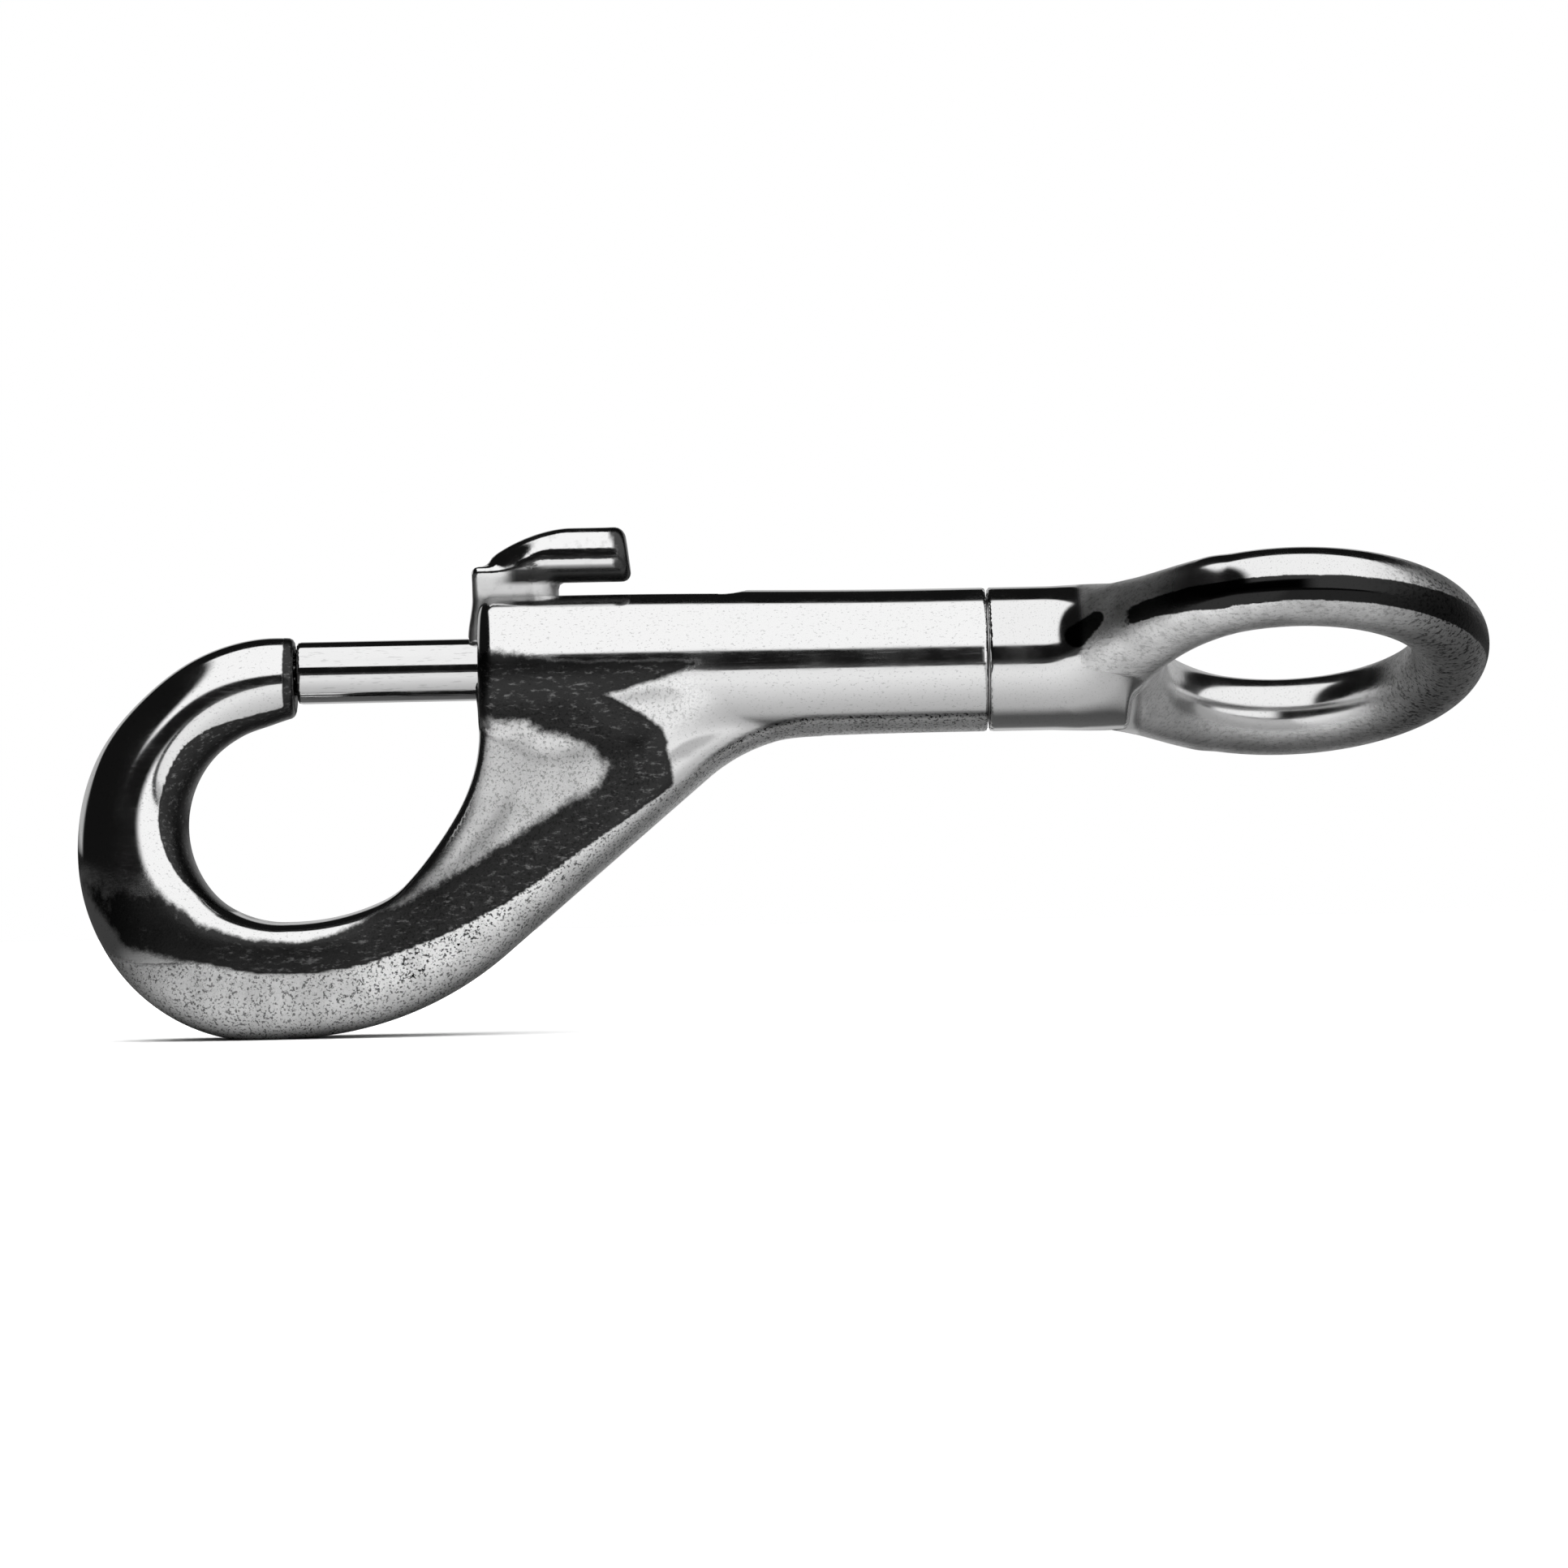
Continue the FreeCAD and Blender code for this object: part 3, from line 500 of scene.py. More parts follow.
def settle(field, points, rounds=4):
    """Moves points along the slope until they lie on the surface."""
    for _ in range(rounds):
        way = slope(field, points)
        size = np.maximum((way * way).sum(1), 0.05)
        shift = way * (field(*points.T) / size)[:, None]
        points = points - np.clip(shift, -GRID, GRID)
    return points


def skin(field, low, high, step=GRID):
    """Points and quads of the surface where the field is zero, inside a box."""
    axes = [np.arange(a - 2 * step, b + 2.5 * step, step) for a, b in zip(low, high)]
    values = field(*np.meshgrid(*axes, indexing="ij"))
    inside = values < 0
    cells = tuple(n - 1 for n in values.shape)
    total, count = np.zeros(cells + (3,)), np.zeros(cells)
    for axis in range(3):
        others = [a for a in range(3) if a != axis]
        for corner in ((0, 0), (0, 1), (1, 0), (1, 1)):
            near = [slice(None)] * 3
            for other, side in zip(others, corner):
                near[other] = slice(side, side + cells[other])
            far = list(near)
            near[axis], far[axis] = slice(0, cells[axis]), slice(1, cells[axis] + 1)
            a, b = values[tuple(near)], values[tuple(far)]
            crossed = inside[tuple(near)] != inside[tuple(far)]
            share = np.where(crossed, a / np.where(crossed, a - b, 1), 0)
            count += crossed
            total[..., axis] += share
            for other, side in zip(others, corner):
                total[..., other] += crossed * side
    used = count > 0
    number = np.full(cells, -1)
    number[used] = np.arange(used.sum())
    where = np.argwhere(used) + total[used] / count[used][:, None]
    points = np.array([a[0] for a in axes]) + where * step
    return points, quads(inside, number)


def quads(inside, number):
    """One quad for each grid edge that the surface crosses, between its four cells."""
    faces = []
    for axis in range(3):
        b, c = (axis + 1) % 3, (axis + 2) % 3
        turned = np.moveaxis(inside, (axis, b, c), (0, 1, 2))
        index = np.moveaxis(number, (axis, b, c), (0, 1, 2))
        start, end = turned[:-1, 1:-1, 1:-1], turned[1:, 1:-1, 1:-1]
        i, j, k = np.nonzero(start != end)
        ring = [index[i, j + dj, k + dk] for dj, dk in ((0, 0), (1, 0), (1, 1), (0, 1))]
        face = np.stack(ring, 1)
        outward = start[i, j, k]
        faces.append(np.where(outward[:, None], face, face[:, ::-1]))
    return np.concatenate(faces)


def relax(points, faces, strength=0.5):
    """Moves each point part of the way to the middle of its neighbours."""
    total, count = np.zeros_like(points), np.zeros(len(points))
    for a, b in ((0, 1), (1, 2), (2, 3), (3, 0)):
        for one, other in ((a, b), (b, a)):
            np.add.at(total, faces[:, one], points[faces[:, other]])
            np.add.at(count, faces[:, one], 1)
    return points + strength * (total / count[:, None] - points)


def skinned_piece(name, field, node, body, masks):
    """A closed mesh over a field, standing for a CAD node, with masks as point attributes."""
    low, high = span(node)
    points, faces = skin(field, low - Vector((1, 1, 1)), high + Vector((1, 1, 1)))
    for _ in range(3):
        points = settle(field, relax(points, faces))
    normals = slope(field, points, SHADE_PROBE)
    normals /= np.linalg.norm(normals, axis=1)[:, None]
    piece = mesh_piece(name, points, faces, node, body)
    for mask_name, mask in masks.items():
        layer = piece.data.attributes.new(mask_name, "FLOAT", "POINT")
        layer.data.foreach_set("value", np.clip(mask(points, normals), 0, 1).astype(np.float32))
    piece.data.normals_split_custom_set_from_vertices(normals.tolist())
    return piece


def mesh_piece(name, points, faces, node, body):
    """A smooth mesh made of points in millimetres, standing for a CAD node."""
    mesh = bpy.data.meshes.new(name)
    mesh.from_pydata((points * MM).tolist(), [], faces.tolist())
    mesh.shade_smooth()
    piece = bpy.data.objects.new(name, mesh)
    bpy.context.scene.collection.objects.link(piece)
    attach(piece, body)
    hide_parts(node)
    return piece


def coil_spring():
    """The bolt's spring: open turns between two closed ones."""
    steps, sides = 480, 12
    radius = spring_high.y - SPRING_WIRE_R
    start, end = spring_low.x + SPRING_WIRE_R, spring_high.x - SPRING_WIRE_R
    share = np.linspace(0, 1, steps)
    opened = np.clip((share - SPRING_CLOSED) / (1 - 2 * SPRING_CLOSED), 0, 1)
    closed = (np.minimum(share, SPRING_CLOSED) + np.maximum(share - 1 + SPRING_CLOSED, 0)) / SPRING_CLOSED
    pitch = SPRING_CLOSED_PITCH * SPRING_WIRE_R
    run = start + pitch * closed + (end - start - 2 * pitch) * opened
    turn = 2 * math.pi * (SPRING_TURNS + 2) * share
    centre = np.stack([run, radius * np.cos(turn), radius * np.sin(turn)], 1)
    out = np.stack([0 * turn, np.cos(turn), np.sin(turn)], 1)
    way = np.gradient(centre, axis=0)
    way /= np.linalg.norm(way, axis=1)[:, None]
    side = np.cross(way, out)
    around = 2 * math.pi * np.arange(sides) / sides
    rings = centre[:, None] + SPRING_WIRE_R * (
        np.cos(around)[None, :, None] * out[:, None] + np.sin(around)[None, :, None] * side[:, None]
    )
    points = np.concatenate([rings.reshape(-1, 3), centre[:1], centre[-1:]])
    i, j = np.meshgrid(np.arange(steps - 1), np.arange(sides), indexing="ij")
    ahead = (j + 1) % sides
    walls = np.stack([i * sides + j, i * sides + ahead, (i + 1) * sides + ahead, (i + 1) * sides + j], -1)
    faces = walls.reshape(-1, 4).tolist()
    first, last = steps * sides, steps * sides + 1
    for near, far in zip(range(sides), [*range(1, sides), 0]):
        faces.append([first, far, near])
        faces.append([last, (steps - 1) * sides + near, (steps - 1) * sides + far])
    faces = np.array(faces, object)
    piece = mesh_piece("spring_coil", points, faces, "bolt_spring", "barrel")
    free = spring_high.x - spring_low.x
    (free - TRAVEL) / free
    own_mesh(piece)
    return piece


# ---------------------------------------------------------------- where the finishes change

# How far in from the outer edge the blasted skin reaches, by the angle up the back and by the
# angle about the curl.
BACK_SKIN = (
    (0, 4.6), (15, 4.45), (27, 4.2), (40, 3.3), (50, 2.55), (62, 2.0), (72, 1.45), (80, 1.0), (90, 1.3),
)
CURL_SKIN = ((212, 0.0), (219, 1.0), (226, 2.4), (234, 4.1), (248, 4.95), (270, 4.6))
SKIN_SOFT = 0.15  # half the width of the skin's soft edge
PARTING_REAR = -40.0  # X from which the parting line is at its clearest
# Width of the painted dark reflection inside the curl, by the angle about it.
CURL_PAINTED_SHADE = (
    (75, 0.7), (90, 0.9), (110, 1.1), (138, 1.9), (160, 2.0), (182, 1.8), (205, 1.2), (225, 0.5), (240, 0),
)
# The run of painted shade and dark reflection along the ridge and back under the barrel: how far
# behind the barrel's front face, height, and half width.
RIDGE_PAINTED_SHADE = (
    (-26.2, -14.0, 2.4),
    (-23.8, -17.2, 2.4),
    (-20.6, -18.9, 1.6),
    (-17.1, -19.9, 1.25),
    (-13.0, -20.3, 1.25),
    (-8.9, -19.7, 1.5),
    (-4.8, -18.3, 1.5),
    (-0.7, -16.4, 1.45),
    (2.8, -14.1, 1.45),
    (9.3, -10.1, 1.2),
    (11.8, -7.5, 1.7),
    (11.4, -5.4, 1.75),
    (8.6, -3.4, 1.5),
    (5.0, -2.2, 1.5),
)
# The painted shade in the pocket under the barrel's front, up to its middle line.
BARREL_PAINTED_SHADE = ((15.5, 0.1, 0.2), (9.8, -0.75, 1.1), (4.0, -1.3, 1.7), (-1.1, -1.2, 1.6))
PAINTED_SHADE_SOFT = 0.6  # half the width of the painted shade's soft edge
PAINTED_SHADE_FADE = 1.5  # how much wider that is towards the web
TIP_PAINTED_SHADE = 0.9  # width of the painted shade at the end of the hook's tip
# The painted dark patch at the neck's rear end: X, height and half width.
NECK_PAINTED_SHADE = ((-15.3, 1.4, 0.8), (-13.9, 2.6, 0.5))
WEB_FRONT = 51.5  # the brushed web is where -(X + Z) is more than this
WEB_BARE_BOWL = 0.4  # how far it stays from the bowl's edge
WEB_BARE_BACK = 1.5  # and from the back's outer edge
WEB_BARE_TOP = 1.8  # and from the barrel's middle line
WEB_BARE_SOFT = 1.2
HOLLOW_X = BARREL_FRONT + 12.4  # the brushed hollow where the hook's back leaves the barrel
HOLLOW_Z = -2.6
HOLLOW_LONG = 1.6  # how much longer than high it is
DULL_START = NECK_FACE + 5.7  # where the eye's dull skin starts, at the neck's top
DULL_LEAN = 4.3  # how much later it starts lower down
END_START = 3.5  # X where the coarse grain of the eye's outer end starts, and where it is full
END_FULL = 10.5


def skin_edge(x, z):
    """How far a point of the hook lies outside the edge of the blasted skin."""
    angle, reach = back_offset(x, z)
    back = reach - (BACK_R - along(angle, *zip(*BACK_SKIN)))
    angle, reach = curl_offset(x, z)
    stations, inside, inward, outward, _, _ = zip(*CURL_BAR)
    outside = along(angle, stations, np.array(inside) + np.array(inward) + np.array(outward))
    curl = reach - outside + along(angle, *zip(*CURL_SKIN))
    below = (z < CURL_Z) & (angle > CURL_SKIN[0][0])
    return np.where(x > CURL_X, back, np.where(below, curl, -1))


def cast_skin(points, normals):
    """The outside of the hook and the barrel's underside, which were blasted and not buffed."""
    x, _, z = points.T
    return ramp(skin_edge(x, z), -SKIN_SOFT, SKIN_SOFT)


def parting_line(points, normals):
    """The witness line between the barrel's sides and its underside."""
    x, _, z = points.T
    line = 1 - ramp(np.abs(skin_edge(x, z)), 0.08, 0.26)
    return line * ramp(z, -8, -6) * ramp(x, BARREL_FRONT, PARTING_REAR)


def strip(x, z, stations):
    """Signed distance to a strip through some stations, each with its half width."""
    nearest = np.full(x.shape, np.inf)
    for (*start, start_half), (*end, end_half) in zip(stations, stations[1:]):
        away, share = from_line(x, z, start, end)
        nearest = np.minimum(nearest, away - start_half - (end_half - start_half) * share)
    return nearest


def hook_scale(points, normals):
    """Painted shade and dark reflection: the ridge, the pocket, inside the curl, the tip's end."""
    x, _, z = points.T
    behind = x - BARREL_FRONT
    run = np.minimum(strip(behind, z, RIDGE_PAINTED_SHADE), strip(behind, z, BARREL_PAINTED_SHADE))
    on_web = ramp(-x - z, WEB_FRONT - 1.0, WEB_FRONT + 3.5) * ramp(behind, -11.5, -5.0)
    ridge = 1 - ramp(run, -PAINTED_SHADE_SOFT, PAINTED_SHADE_SOFT + PAINTED_SHADE_FADE * on_web)
    ridge *= 0.75 + 0.25 * ramp(behind, -22, -15)
    ridge *= np.where(behind < -22, ramp(-z, 11.0, 17.0), 1)
    angle, reach = curl_offset(x, z)
    stations, inside, *_ = zip(*CURL_BAR)
    inner = reach - along(angle, stations, inside) - along(angle, *zip(*CURL_PAINTED_SHADE))
    curl = (1 - ramp(inner, -SKIN_SOFT, SKIN_SOFT)) * (x < TIP_FACE + 1) * ((x < CURL_X) | (z > CURL_Z))
    tip_start = TIP_FACE - TIP_PAINTED_SHADE
    tip = ramp(x, tip_start, tip_start + 0.3) * (x < TIP_FACE + 0.1) * (z > CURL_Z)
    dark = np.maximum(ridge, np.maximum(curl, tip))
    return dark * (1 - cast_skin(points, normals))


def web_satin(points, normals):
    """The web's flat sides, and the hollow where the back leaves the barrel: brushed, not buffed."""
    x, y, z = points.T
    _, reach = back_offset(x, z)
    bowl = np.hypot(x - CURL_X, z - BOWL_Z) - BOWL_LARGE
    within = np.minimum(bowl - WEB_BARE_BOWL, BACK_R - WEB_BARE_BACK - reach)
    within = np.minimum(within, -WEB_BARE_TOP - z)
    flat = ramp(within, 0.0, WEB_BARE_SOFT) * ramp(x, CURL_X + 2, CURL_X + 9)
    flat *= ramp(-x - z, WEB_FRONT, WEB_FRONT + 2.0)
    hollow = np.hypot((x - HOLLOW_X) / HOLLOW_LONG, z - HOLLOW_Z)
    return np.maximum(flat, 0.85 * (1 - ramp(hollow, 0.6, 3.2)))


def eye_satin(points, normals):
    """The forged eye is left as blasted on the inside and at its outer end."""
    x, y, z = points.T
    normal_x, normal_y, normal_z = normals.T
    _, side = eye_plane(y, z)
    _, normal_side = eye_plane(normal_y, normal_z)
    reach = np.maximum(np.hypot(x, side), 0.01)
    inward = -(normal_x * x + normal_side * side) / reach
    return ramp(inward, 0.15, 0.6) * ramp(EYE_RING_R + 1.5 - reach, -1, 1)


def eye_dull(points, normals):
    """The eye's roots, underside and outer end, which the buff doesn't reach."""
    x, _, z = points.T
    unbuffed = np.maximum(ramp(-normals[:, 2], 0.3, 0.45), ramp(x, 4.5, 9.5))
    start = DULL_START + DULL_LEAN * ramp(-z, 0.6, 1.9)
    return np.maximum(unbuffed, 1 - ramp(x, -11.0, -5.5)) * ramp(x - start, 0.0, 0.7)


def eye_scale(points, normals):
    """A painted dark reflection: a band round the eye's rim, between its buffed top and its underside."""
    x, up = points[:, 0], normals[:, 2]
    low = -0.1 - 0.28 * ramp(x, -12.0, -5.0)
    band = ramp(up - low, -0.06, 0.06) * (1 - ramp(up, 0.2, 0.34)) * ramp(x, -13.5, -10.5)
    return np.maximum(band, 1 - ramp(strip(x, points[:, 2], NECK_PAINTED_SHADE), -0.4, 0.4))


def eye_end(points, normals):
    """The eye's outer end: a coarse grain, and a colour that darkens towards the end."""
    return ramp(points[:, 0], END_START, END_FULL)


def stem_satin(points, normals):
    """The lever's stem, below the thumb bar, is left dull."""
    return 1 - ramp(points[:, 2], THUMB_UNDER + 0.2, THUMB_UNDER + 0.9)


def lever_scale(points, normals):
    """Painted shade: the thumb bar's rear end and underside are darkened."""
    x, _, z = points.T
    height = z - THUMB_UNDER
    from_middle = np.abs(z - (THUMB_TOP + THUMB_UNDER) / 2)
    end = ramp(x + 0.3 * from_middle, THUMB_REAR - 1.2, THUMB_REAR - 0.9) * (height > -0.3)
    under = (1 - ramp(height, 1.0, 1.25)) * ramp(x, STEM_REAR - 4.0, STEM_REAR - 3.0)
    return np.maximum(end, under * ramp(height, -0.1, 0.1))


# ---------------------------------------------------------------- finishes


class Value:
    """A socket of a node tree. Arithmetic on it adds Math nodes."""

    def __init__(self, tree, socket):
        self.tree = tree
        self.socket = socket

    def math(self, operation, *inputs):
        return self.tree.node("ShaderNodeMath", {"operation": operation}, dict(enumerate(inputs)))

    def __add__(self, other):
        return self.math("ADD", self, other)

    def __radd__(self, other):
        return self.math("ADD", other, self)

    def __sub__(self, other):
        return self.math("SUBTRACT", self, other)

    def __rsub__(self, other):
        return self.math("SUBTRACT", other, self)

    def __mul__(self, other):
        return self.math("MULTIPLY", self, other)

    def __rmul__(self, other):
        return self.math("MULTIPLY", other, self)


class Tree:
    """A node tree of a material or of the world."""

    def __init__(self, owner):
        owner.use_nodes = True
        self.nodes = owner.node_tree.nodes
        self.links = owner.node_tree.links
        self.nodes.clear()

    def node(self, kind, settings, inputs, output=0):
        """Adds a node: its settings first, then the values or links of its sockets."""
        node = self.nodes.new(kind)
        for name, setting in settings.items():
            setattr(node, name, setting)
        for name, value in inputs.items():
            if isinstance(value, Value):
                self.links.new(value.socket, node.inputs[name])
            else:
                node.inputs[name].default_value = value
        return Value(self, node.outputs[output]) if node.outputs else None

    def mask(self, name):
        """A mask that the mesh carries."""
        return self.node("ShaderNodeAttribute", {"attribute_name": name}, {}, "Fac")

    def noise(self, size_mm, detail=2.0, rough=0.5, stretch=(1, 1, 1)):
        """Cloudy noise on the piece, whose patches are about that size."""
        own = self.node("ShaderNodeTexCoord", {}, {}, "Object")
        where = self.node("ShaderNodeMapping", {}, {"Vector": own, "Scale": stretch})
        sizes = {"Vector": where, "Scale": 1 / (size_mm * MM), "Detail": detail, "Roughness": rough}
        return self.node("ShaderNodeTexNoise", {}, sizes, "Fac")

    def between(self, value, low, high, start=0.0, end=1.0):
        """The value eased from low..high to start..end, and held beyond them."""
        inputs = {"Value": value, "From Min": low, "From Max": high, "To Min": start, "To Max": end}
        return self.node("ShaderNodeMapRange", {"interpolation_type": "SMOOTHSTEP"}, inputs)

    def bump(self, height, depth_mm):
        inputs = {"Strength": 1.0, "Distance": depth_mm * MM, "Height": height}
        return self.node("ShaderNodeBump", {}, inputs, "Normal")

    def grey(self, value, warmth=0.0):
        channels = {"Red": value * (1 + warmth), "Green": value, "Blue": value * (1 - warmth)}
        return self.node("ShaderNodeCombineColor", {}, channels)


def metal(name, shade, roughness, height, depth_mm, warmth=0.0):
    """A bare metal: each of shade, roughness and height is a function of the tree."""
    material = bpy.data.materials.new(name)
    tree = Tree(material)
    inputs = {
        "Base Color": tree.grey(shade(tree), warmth),
        "Metallic": 1.0,
        "Roughness": roughness(tree),
        "Normal": tree.bump(height(tree), depth_mm),
    }
    shader = tree.node("ShaderNodeBsdfPrincipled", {}, inputs)
    tree.node("ShaderNodeOutputMaterial", {}, {"Surface": shader})
    return material


def hairlines(tree, stretch):
    """Fine polishing lines that run along one axis."""
    return tree.between(tree.noise(0.09, 1.0, 0.5, stretch), 0.55, 0.75)


def cast_steel():
    """Buffed casting with a brushed web and a blasted back, darkened by painted shade and dark reflections."""

    # painted shade and dark reflection, with ragged edges
    def painted_shade(tree):
        ragged = tree.mask("hook_scale") + 0.9 * tree.noise(1.3, 5.0, 0.75) - 0.45
        return tree.between(ragged, 0.25, 0.7)

    def shade(tree):
        specks = tree.between(tree.noise(0.2, 3.0, 0.65), 0.53, 0.6)
        clouds = tree.between(tree.noise(2.2, 3.0, 0.6), 0.35, 0.7)
        skin = tree.mask("cast_skin")
        satin = tree.mask("web_satin")
        lifted = skin * (0.14 - 0.55 * specks - 0.12 * clouds)
        lifted = lifted + satin * (0.28 - 0.36 * specks - 0.12 * clouds)
        streaks = tree.between(tree.noise(0.3, 4.0, 0.7, (0.4, 1, 1)), 0.52, 0.72)
        pits = tree.between(tree.noise(0.13, 2.0, 0.6, (0.6, 1, 1)), 0.6, 0.68)
        bare = 0.69 + lifted - 0.5 * tree.mask("parting_line") - 0.2 * pits
        streaks = streaks * tree.between(tree.mask("hook_scale"), 0.8, 0.95)
        # the colour is darkened where shade and dark reflections are painted, with faint light streaks in them
        return bare * (1 - painted_shade(tree) * (0.95 - 0.2 * streaks))

    def roughness(tree):
        lines = hairlines(tree, (0.05, 1, 1))
        buffed = 0.07 + 0.05 * lines + 0.05 * tree.between(tree.noise(3.0), 0.3, 0.7)
        return buffed + 0.3 * tree.mask("cast_skin") + 0.38 * tree.mask("web_satin") + 0.2 * painted_shade(tree)

    def height(tree):
        grain = tree.noise(0.22, 4.0, 0.65)
        coarse = 0.012 + 0.6 * tree.mask("cast_skin")
        coarse = coarse + 0.25 * tree.mask("web_satin") + 0.3 * tree.mask("hook_scale")
        return grain * coarse + 0.1 * tree.noise(4.0)

    return metal("cast_body_steel", shade, roughness, height, 0.05)


def forged_steel():
    """Forged eye: buffed where it is handled, blasted inside and coarse at the end."""

    def shade(tree):
        specks = tree.between(tree.noise(0.22, 3.0, 0.65, (0.5, 1, 1)), 0.5, 0.62)
        clouds = tree.between(tree.noise(1.4, 3.0, 0.6), 0.35, 0.7)
        dull = tree.mask("eye_dull")
        inside = tree.mask("eye_satin")
        worn = dull * (0.2 * specks + 0.14 * clouds - 0.2 * inside)
        # painted dark reflection round the eye's rim and a painted dark patch at the neck's rear end, with ragged
        # edges
        ragged = tree.mask("eye_scale") * (1 - inside) + 0.7 * tree.noise(0.9, 5.0, 0.75) - 0.35
        painted_shade = tree.between(ragged, 0.35, 0.65)
        # darker towards the eye's outer end
        coarse = tree.mask("eye_end") * (0.6 + 0.34 * specks)
        pits = tree.between(tree.noise(0.13, 2.0, 0.6), 0.6, 0.68)
        return (0.65 + 0.16 * dull - worn - 0.15 * pits) * (1 - 0.96 * painted_shade) * (1 - coarse)

    def roughness(tree):
        buffed = 0.07 + 0.05 * tree.between(tree.noise(2.0), 0.3, 0.7)
        return buffed + 0.3 * tree.mask("eye_dull") + 0.06 * tree.mask("eye_satin")

    def height(tree):
        grain = tree.noise(0.26, 4.0, 0.65, (0.5, 1, 1))
        coarse = 0.015 + 0.6 * tree.mask("eye_dull") + 0.5 * tree.mask("eye_end")
        return grain * coarse + 0.1 * tree.noise(3.0)

    return metal("forged_eye_steel", shade, roughness, height, 0.05)


def turned_steel(name, shade, roughness, warmth=0.0, line_mm=0.06):
    """A lathe-turned finish: fine rings about the barrel's axis, and scuffs along it."""

    def shade_of(tree):
        scuffs = tree.between(tree.noise(0.15, 2.0, 0.6, (0.15, 1, 1)), 0.58, 0.68)
        rings = tree.between(tree.noise(1.2, 3.0, 0.5, (0.1, 1, 1)), 0.4, 0.8)
        return shade - 0.05 * rings - 0.12 * scuffs

    def roughness_of(tree):
        return roughness + 0.05 * tree.between(tree.noise(0.8, 2.0), 0.4, 0.7)

    def height(tree):
        return tree.noise(line_mm, 1.0, 0.5, (1, 0.02, 0.02))

    return metal(name, shade_of, roughness_of, height, 0.004, warmth)


def pressed_steel():
    """The lever: polished, with faint lines along it and dull patches."""

    def shade(tree):
        bare = 0.7 - 0.12 * tree.between(tree.noise(0.7, 3.0, 0.6), 0.5, 0.75)
        # darkened by painted shade on the thumb bar's rear end and underside
        return bare * (1 - 0.93 * tree.mask("lever_scale"))

    def roughness(tree):
        patches = tree.between(tree.noise(1.5), 0.4, 0.7)
        buffed = 0.08 + 0.06 * hairlines(tree, (0.05, 1, 1)) + 0.06 * patches
        return buffed + 0.24 * tree.mask("stem_satin") + 0.16 * tree.mask("lever_scale")

    def height(tree):
        return 0.3 * tree.noise(0.3, 3.0, 0.6) + tree.noise(3.0)

    return metal("pressed_lever_steel", shade, roughness, height, 0.02)


def dress(piece, material):
    """Gives a piece one material and no other."""
    piece.data.materials.clear()
    piece.data.materials.append(material)


# ---------------------------------------------------------------- the snap


def build_snap():
    """Every shaped piece and every turned piece, in its finish."""
    hook = skinned_piece(
        "hook_casting", hook_field, "hook_body", "barrel",
        {
            "cast_skin": cast_skin,
            "web_satin": web_satin,
            "hook_scale": hook_scale,
            "parting_line": parting_line,
        },
    )
    dress(hook, cast_steel())
    eye = skinned_piece(
        "eye_forging", eye_field, "swivel_eye", "swivel",
        {"eye_satin": eye_satin, "eye_dull": eye_dull, "eye_scale": eye_scale, "eye_end": eye_end},
    )
    dress(eye, forged_steel())
    lever = skinned_piece(
        "lever_pressing", lever_field, "thumb_lever", "gate",
        {"stem_satin": stem_satin, "lever_scale": lever_scale},
    )
    dress(lever, pressed_steel())
    turned = skinned_piece("bolt_turning", bolt_field, "bolt", "gate", {})
    dress(turned, turned_steel("turned_bolt_steel", 0.66, 0.05))
    dress(coil_spring(), turned_steel("spring_wire_steel", 0.5, 0.2, line_mm=0.2))
    dress(frame["nodes"]["swivel_bush"], turned_steel("bush_bronze_metal", 0.45, 0.25, warmth=0.35))
    for washer in ("thrust_washer", "rivet_washer", "spring_seat"):
        dress(frame["nodes"][washer], turned_steel(washer + "_steel", 0.42, 0.3))


# ---------------------------------------------------------------- studio

CAMERA_DISTANCE = 450.0
CAMERA_AIM = (-36.0, -8.55)  # X and Z of the point in the middle of the view
CAMERA_FIELD = 111.3  # width seen at the barrel
CAMERA_ROLL = 1.16  # in degrees
FLOOR_R = 330.0
FLOOR_SIDES = 128
LAMP_HEIGHT = 500.0
LAMP_WIDTH = 900.0


def pale_floor():
    """A round pale board that the hook stands on. Mirrored in the metal, it is a darker card."""
    turn = 2 * math.pi * np.arange(FLOOR_SIDES) / FLOOR_SIDES
    middle = (cad_box[0] + cad_box[1]) / 2
    radius = FLOOR_R * MM
    ring = [(middle.x + radius * math.cos(a), radius * math.sin(a), cad_box[0].z) for a in turn]
    mesh = bpy.data.meshes.new("floor")
    mesh.from_pydata(ring, [], [list(range(FLOOR_SIDES))])
    floor = bpy.data.objects.new("floor", mesh)
    bpy.context.scene.collection.objects.link(floor)
    material = bpy.data.materials.new("pale_board")
    tree = Tree(material)
    where = tree.node("ShaderNodeTexCoord", {}, {}, "Object")
    along_x, depth = (tree.node("ShaderNodeSeparateXYZ", {}, {"Vector": where}, axis) for axis in "XY")
    seen = tree.node("ShaderNodeLightPath", {}, {}, "Is Camera Ray")

    def fade(place, low, high, start=0.0, end=1.0):
        return tree.between(place, low * MM, high * MM, start, end)

    card = fade(along_x, -98, -80) * fade(along_x, -14, -2, 1.0, 0.55)
    far = fade(depth, -60, -10, 0.5, 0.36) * fade(depth, -160, -145)
    # painted shadow: as the metal mirrors it, the board is darker under the hook
    under = fade(depth, -7, 4, 1.0, 0.14)
    behind = fade(depth, 24, 40, 0.0, 0.22) * fade(depth, 150, 180, 1.0, 0.0)
    mirrored = 0.03 + card * (far * under + behind)
    shade = mirrored * (1 - seen) + seen * (0.9 - 0.01 * tree.noise(20.0))
    board = tree.node("ShaderNodeBsdfDiffuse", {}, {"Color": tree.grey(shade)})
    tree.node("ShaderNodeOutputMaterial", {}, {"Surface": board})
    mesh.materials.append(material)


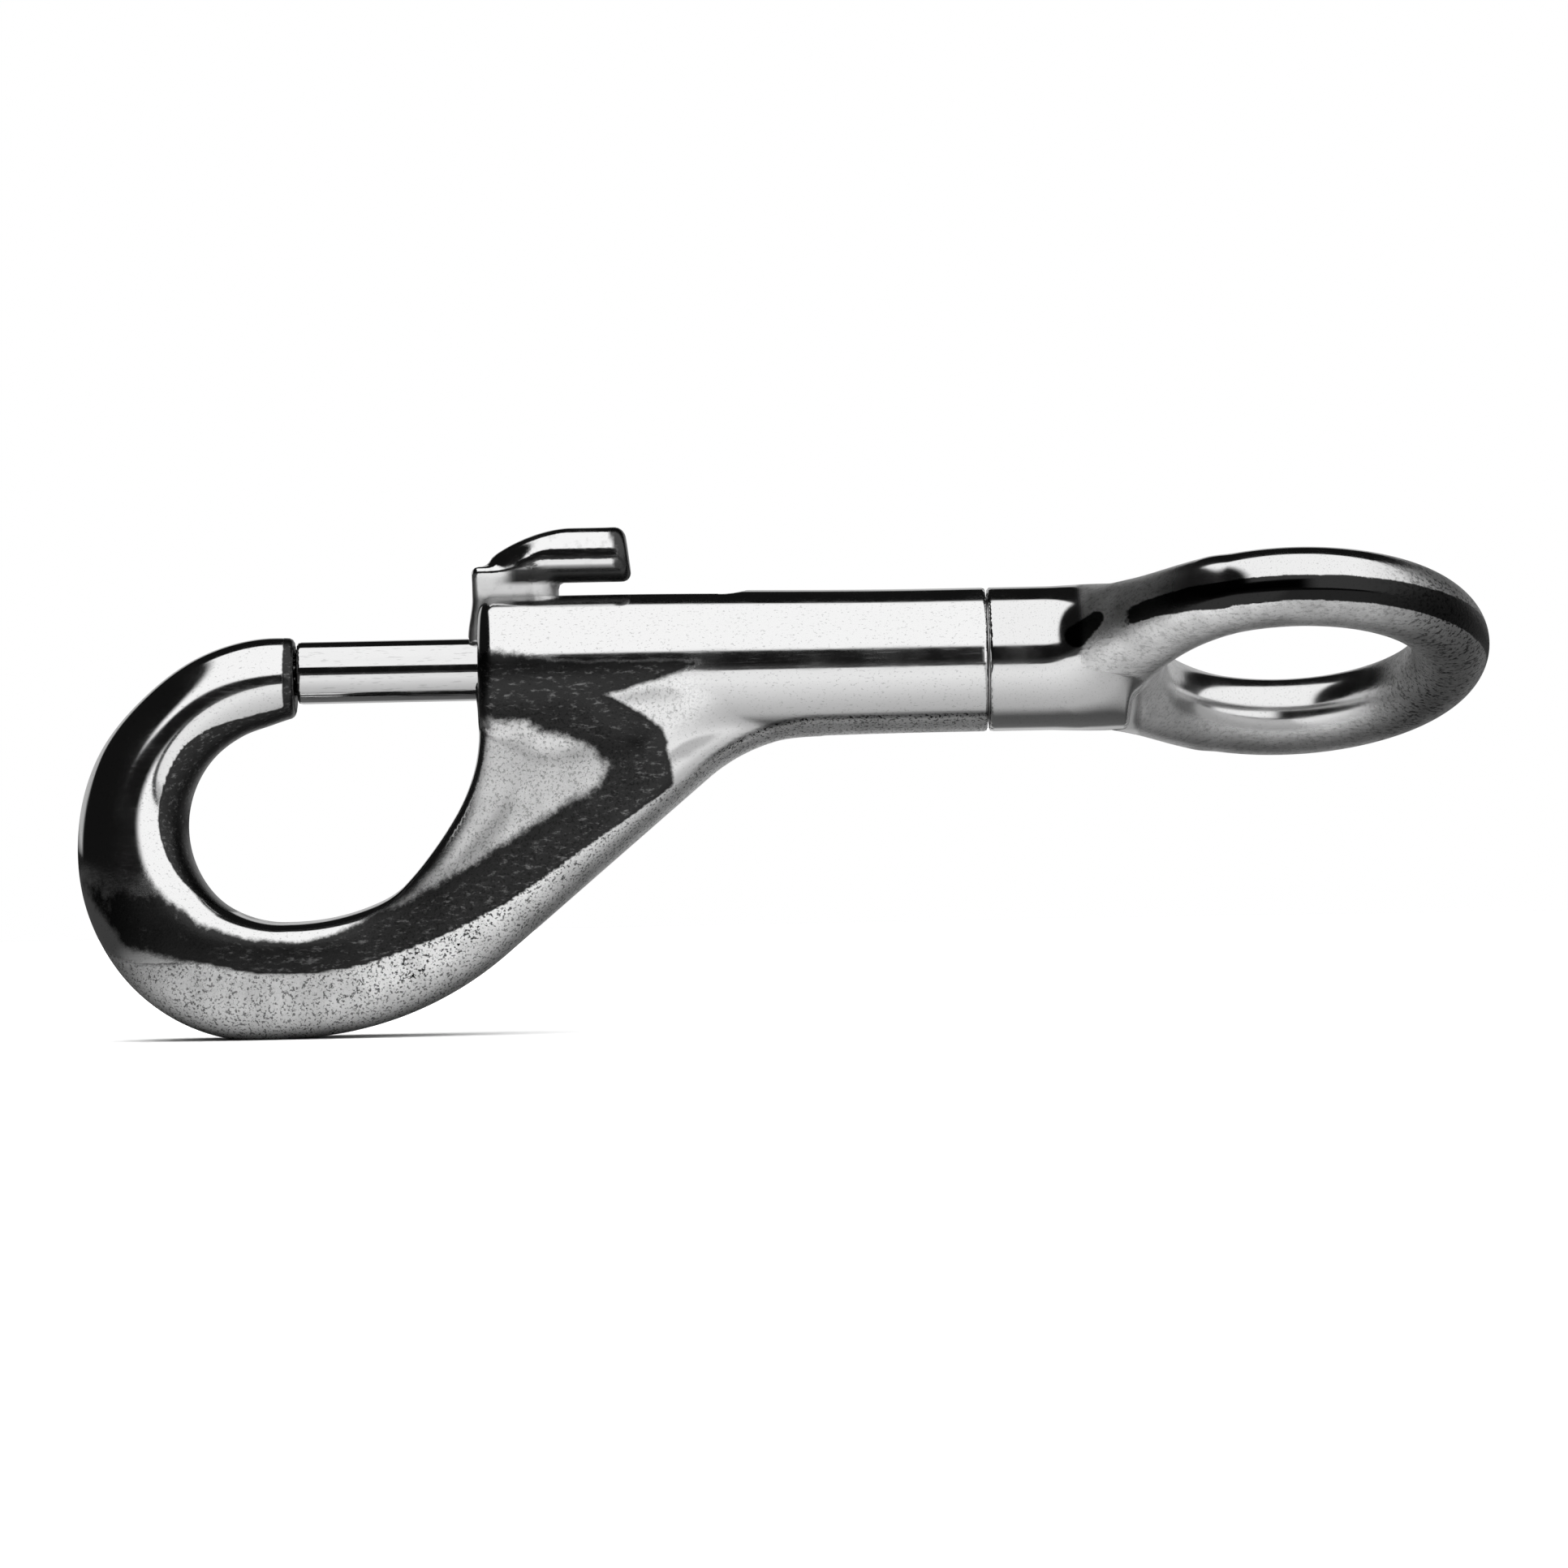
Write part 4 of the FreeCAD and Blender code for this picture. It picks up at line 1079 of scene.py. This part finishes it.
def studio_room():
    """A dark room with a broad white panel overhead, one on the right and a long one behind."""
    world = bpy.data.worlds.new("studio")
    bpy.context.scene.world = world
    tree = Tree(world)
    way = tree.node("ShaderNodeTexCoord", {}, {}, "Generated")
    across, depth, up = (tree.node("ShaderNodeSeparateXYZ", {}, {"Vector": way}, axis) for axis in "XYZ")
    front = 0.0 - depth
    climb = up.math("ARCTAN2", up, front)
    aside = across.math("ARCTAN2", across, front)

    def window(angle, low, high, soft):
        """A panel from one angle to another, in degrees, with soft edges."""
        low, high, soft = (math.radians(a) for a in (low, high, soft))
        opened = tree.between(angle, low - soft, low + soft)
        return opened * (1 - tree.between(angle, high - soft, high + soft))

    def brighter(one, other):
        return one.math("MAXIMUM", one, other)

    overhead = window(climb, 20.5, 108, 2) * tree.between(across, -0.46, -0.36)
    right = window(aside, 9, 68, 6) * window(climb, -25, 60, 2)
    rear = window(climb, 154, 179, 3) * tree.between(depth, 0.45, 0.65, 0.0, 0.42)
    below = tree.between(up, -0.05, 0.0, 1.0, 0.0)
    light = 1.3 * brighter(brighter(overhead, right), rear) + 0.008 + 0.02 * below
    seen = tree.node("ShaderNodeLightPath", {}, {}, "Is Camera Ray")
    room = tree.node("ShaderNodeBackground", {}, {"Color": tree.grey(light)})
    plain = tree.node("ShaderNodeBackground", {}, {"Color": (1.0, 1.0, 1.0, 1.0)})
    surface = tree.node("ShaderNodeMixShader", {}, {0: seen, 1: room, 2: plain})
    tree.node("ShaderNodeOutputWorld", {}, {"Surface": surface})


def floor_light():
    """A soft light above that whitens the board and isn't mirrored in the metal."""
    lamp = bpy.data.lights.new("ceiling_panel", "AREA")
    lamp.shape = "DISK"
    lamp.size = LAMP_WIDTH * MM
    lamp.energy = 7.0
    light = bpy.data.objects.new("ceiling_panel", lamp)
    light.location = (CAMERA_AIM[0] * MM, 0, LAMP_HEIGHT * MM)
    light.visible_glossy = False
    bpy.context.scene.collection.objects.link(light)


def camera():
    """The camera, level with the barrel and square to it."""
    lens = bpy.data.cameras.new("camera")
    lens.sensor_width = 36.0
    lens.lens = lens.sensor_width * CAMERA_DISTANCE / CAMERA_FIELD
    lens.clip_end = 10.0
    view = bpy.data.objects.new("camera", lens)
    view.location = (CAMERA_AIM[0] * MM, -CAMERA_DISTANCE * MM, CAMERA_AIM[1] * MM)
    view.rotation_euler = (math.radians(90), math.radians(CAMERA_ROLL), 0)
    bpy.context.scene.collection.objects.link(view)
    bpy.context.scene.camera = view


build_snap()
pale_floor()
studio_room()
floor_light()
camera()
bpy.context.scene.view_settings.view_transform = "Standard"
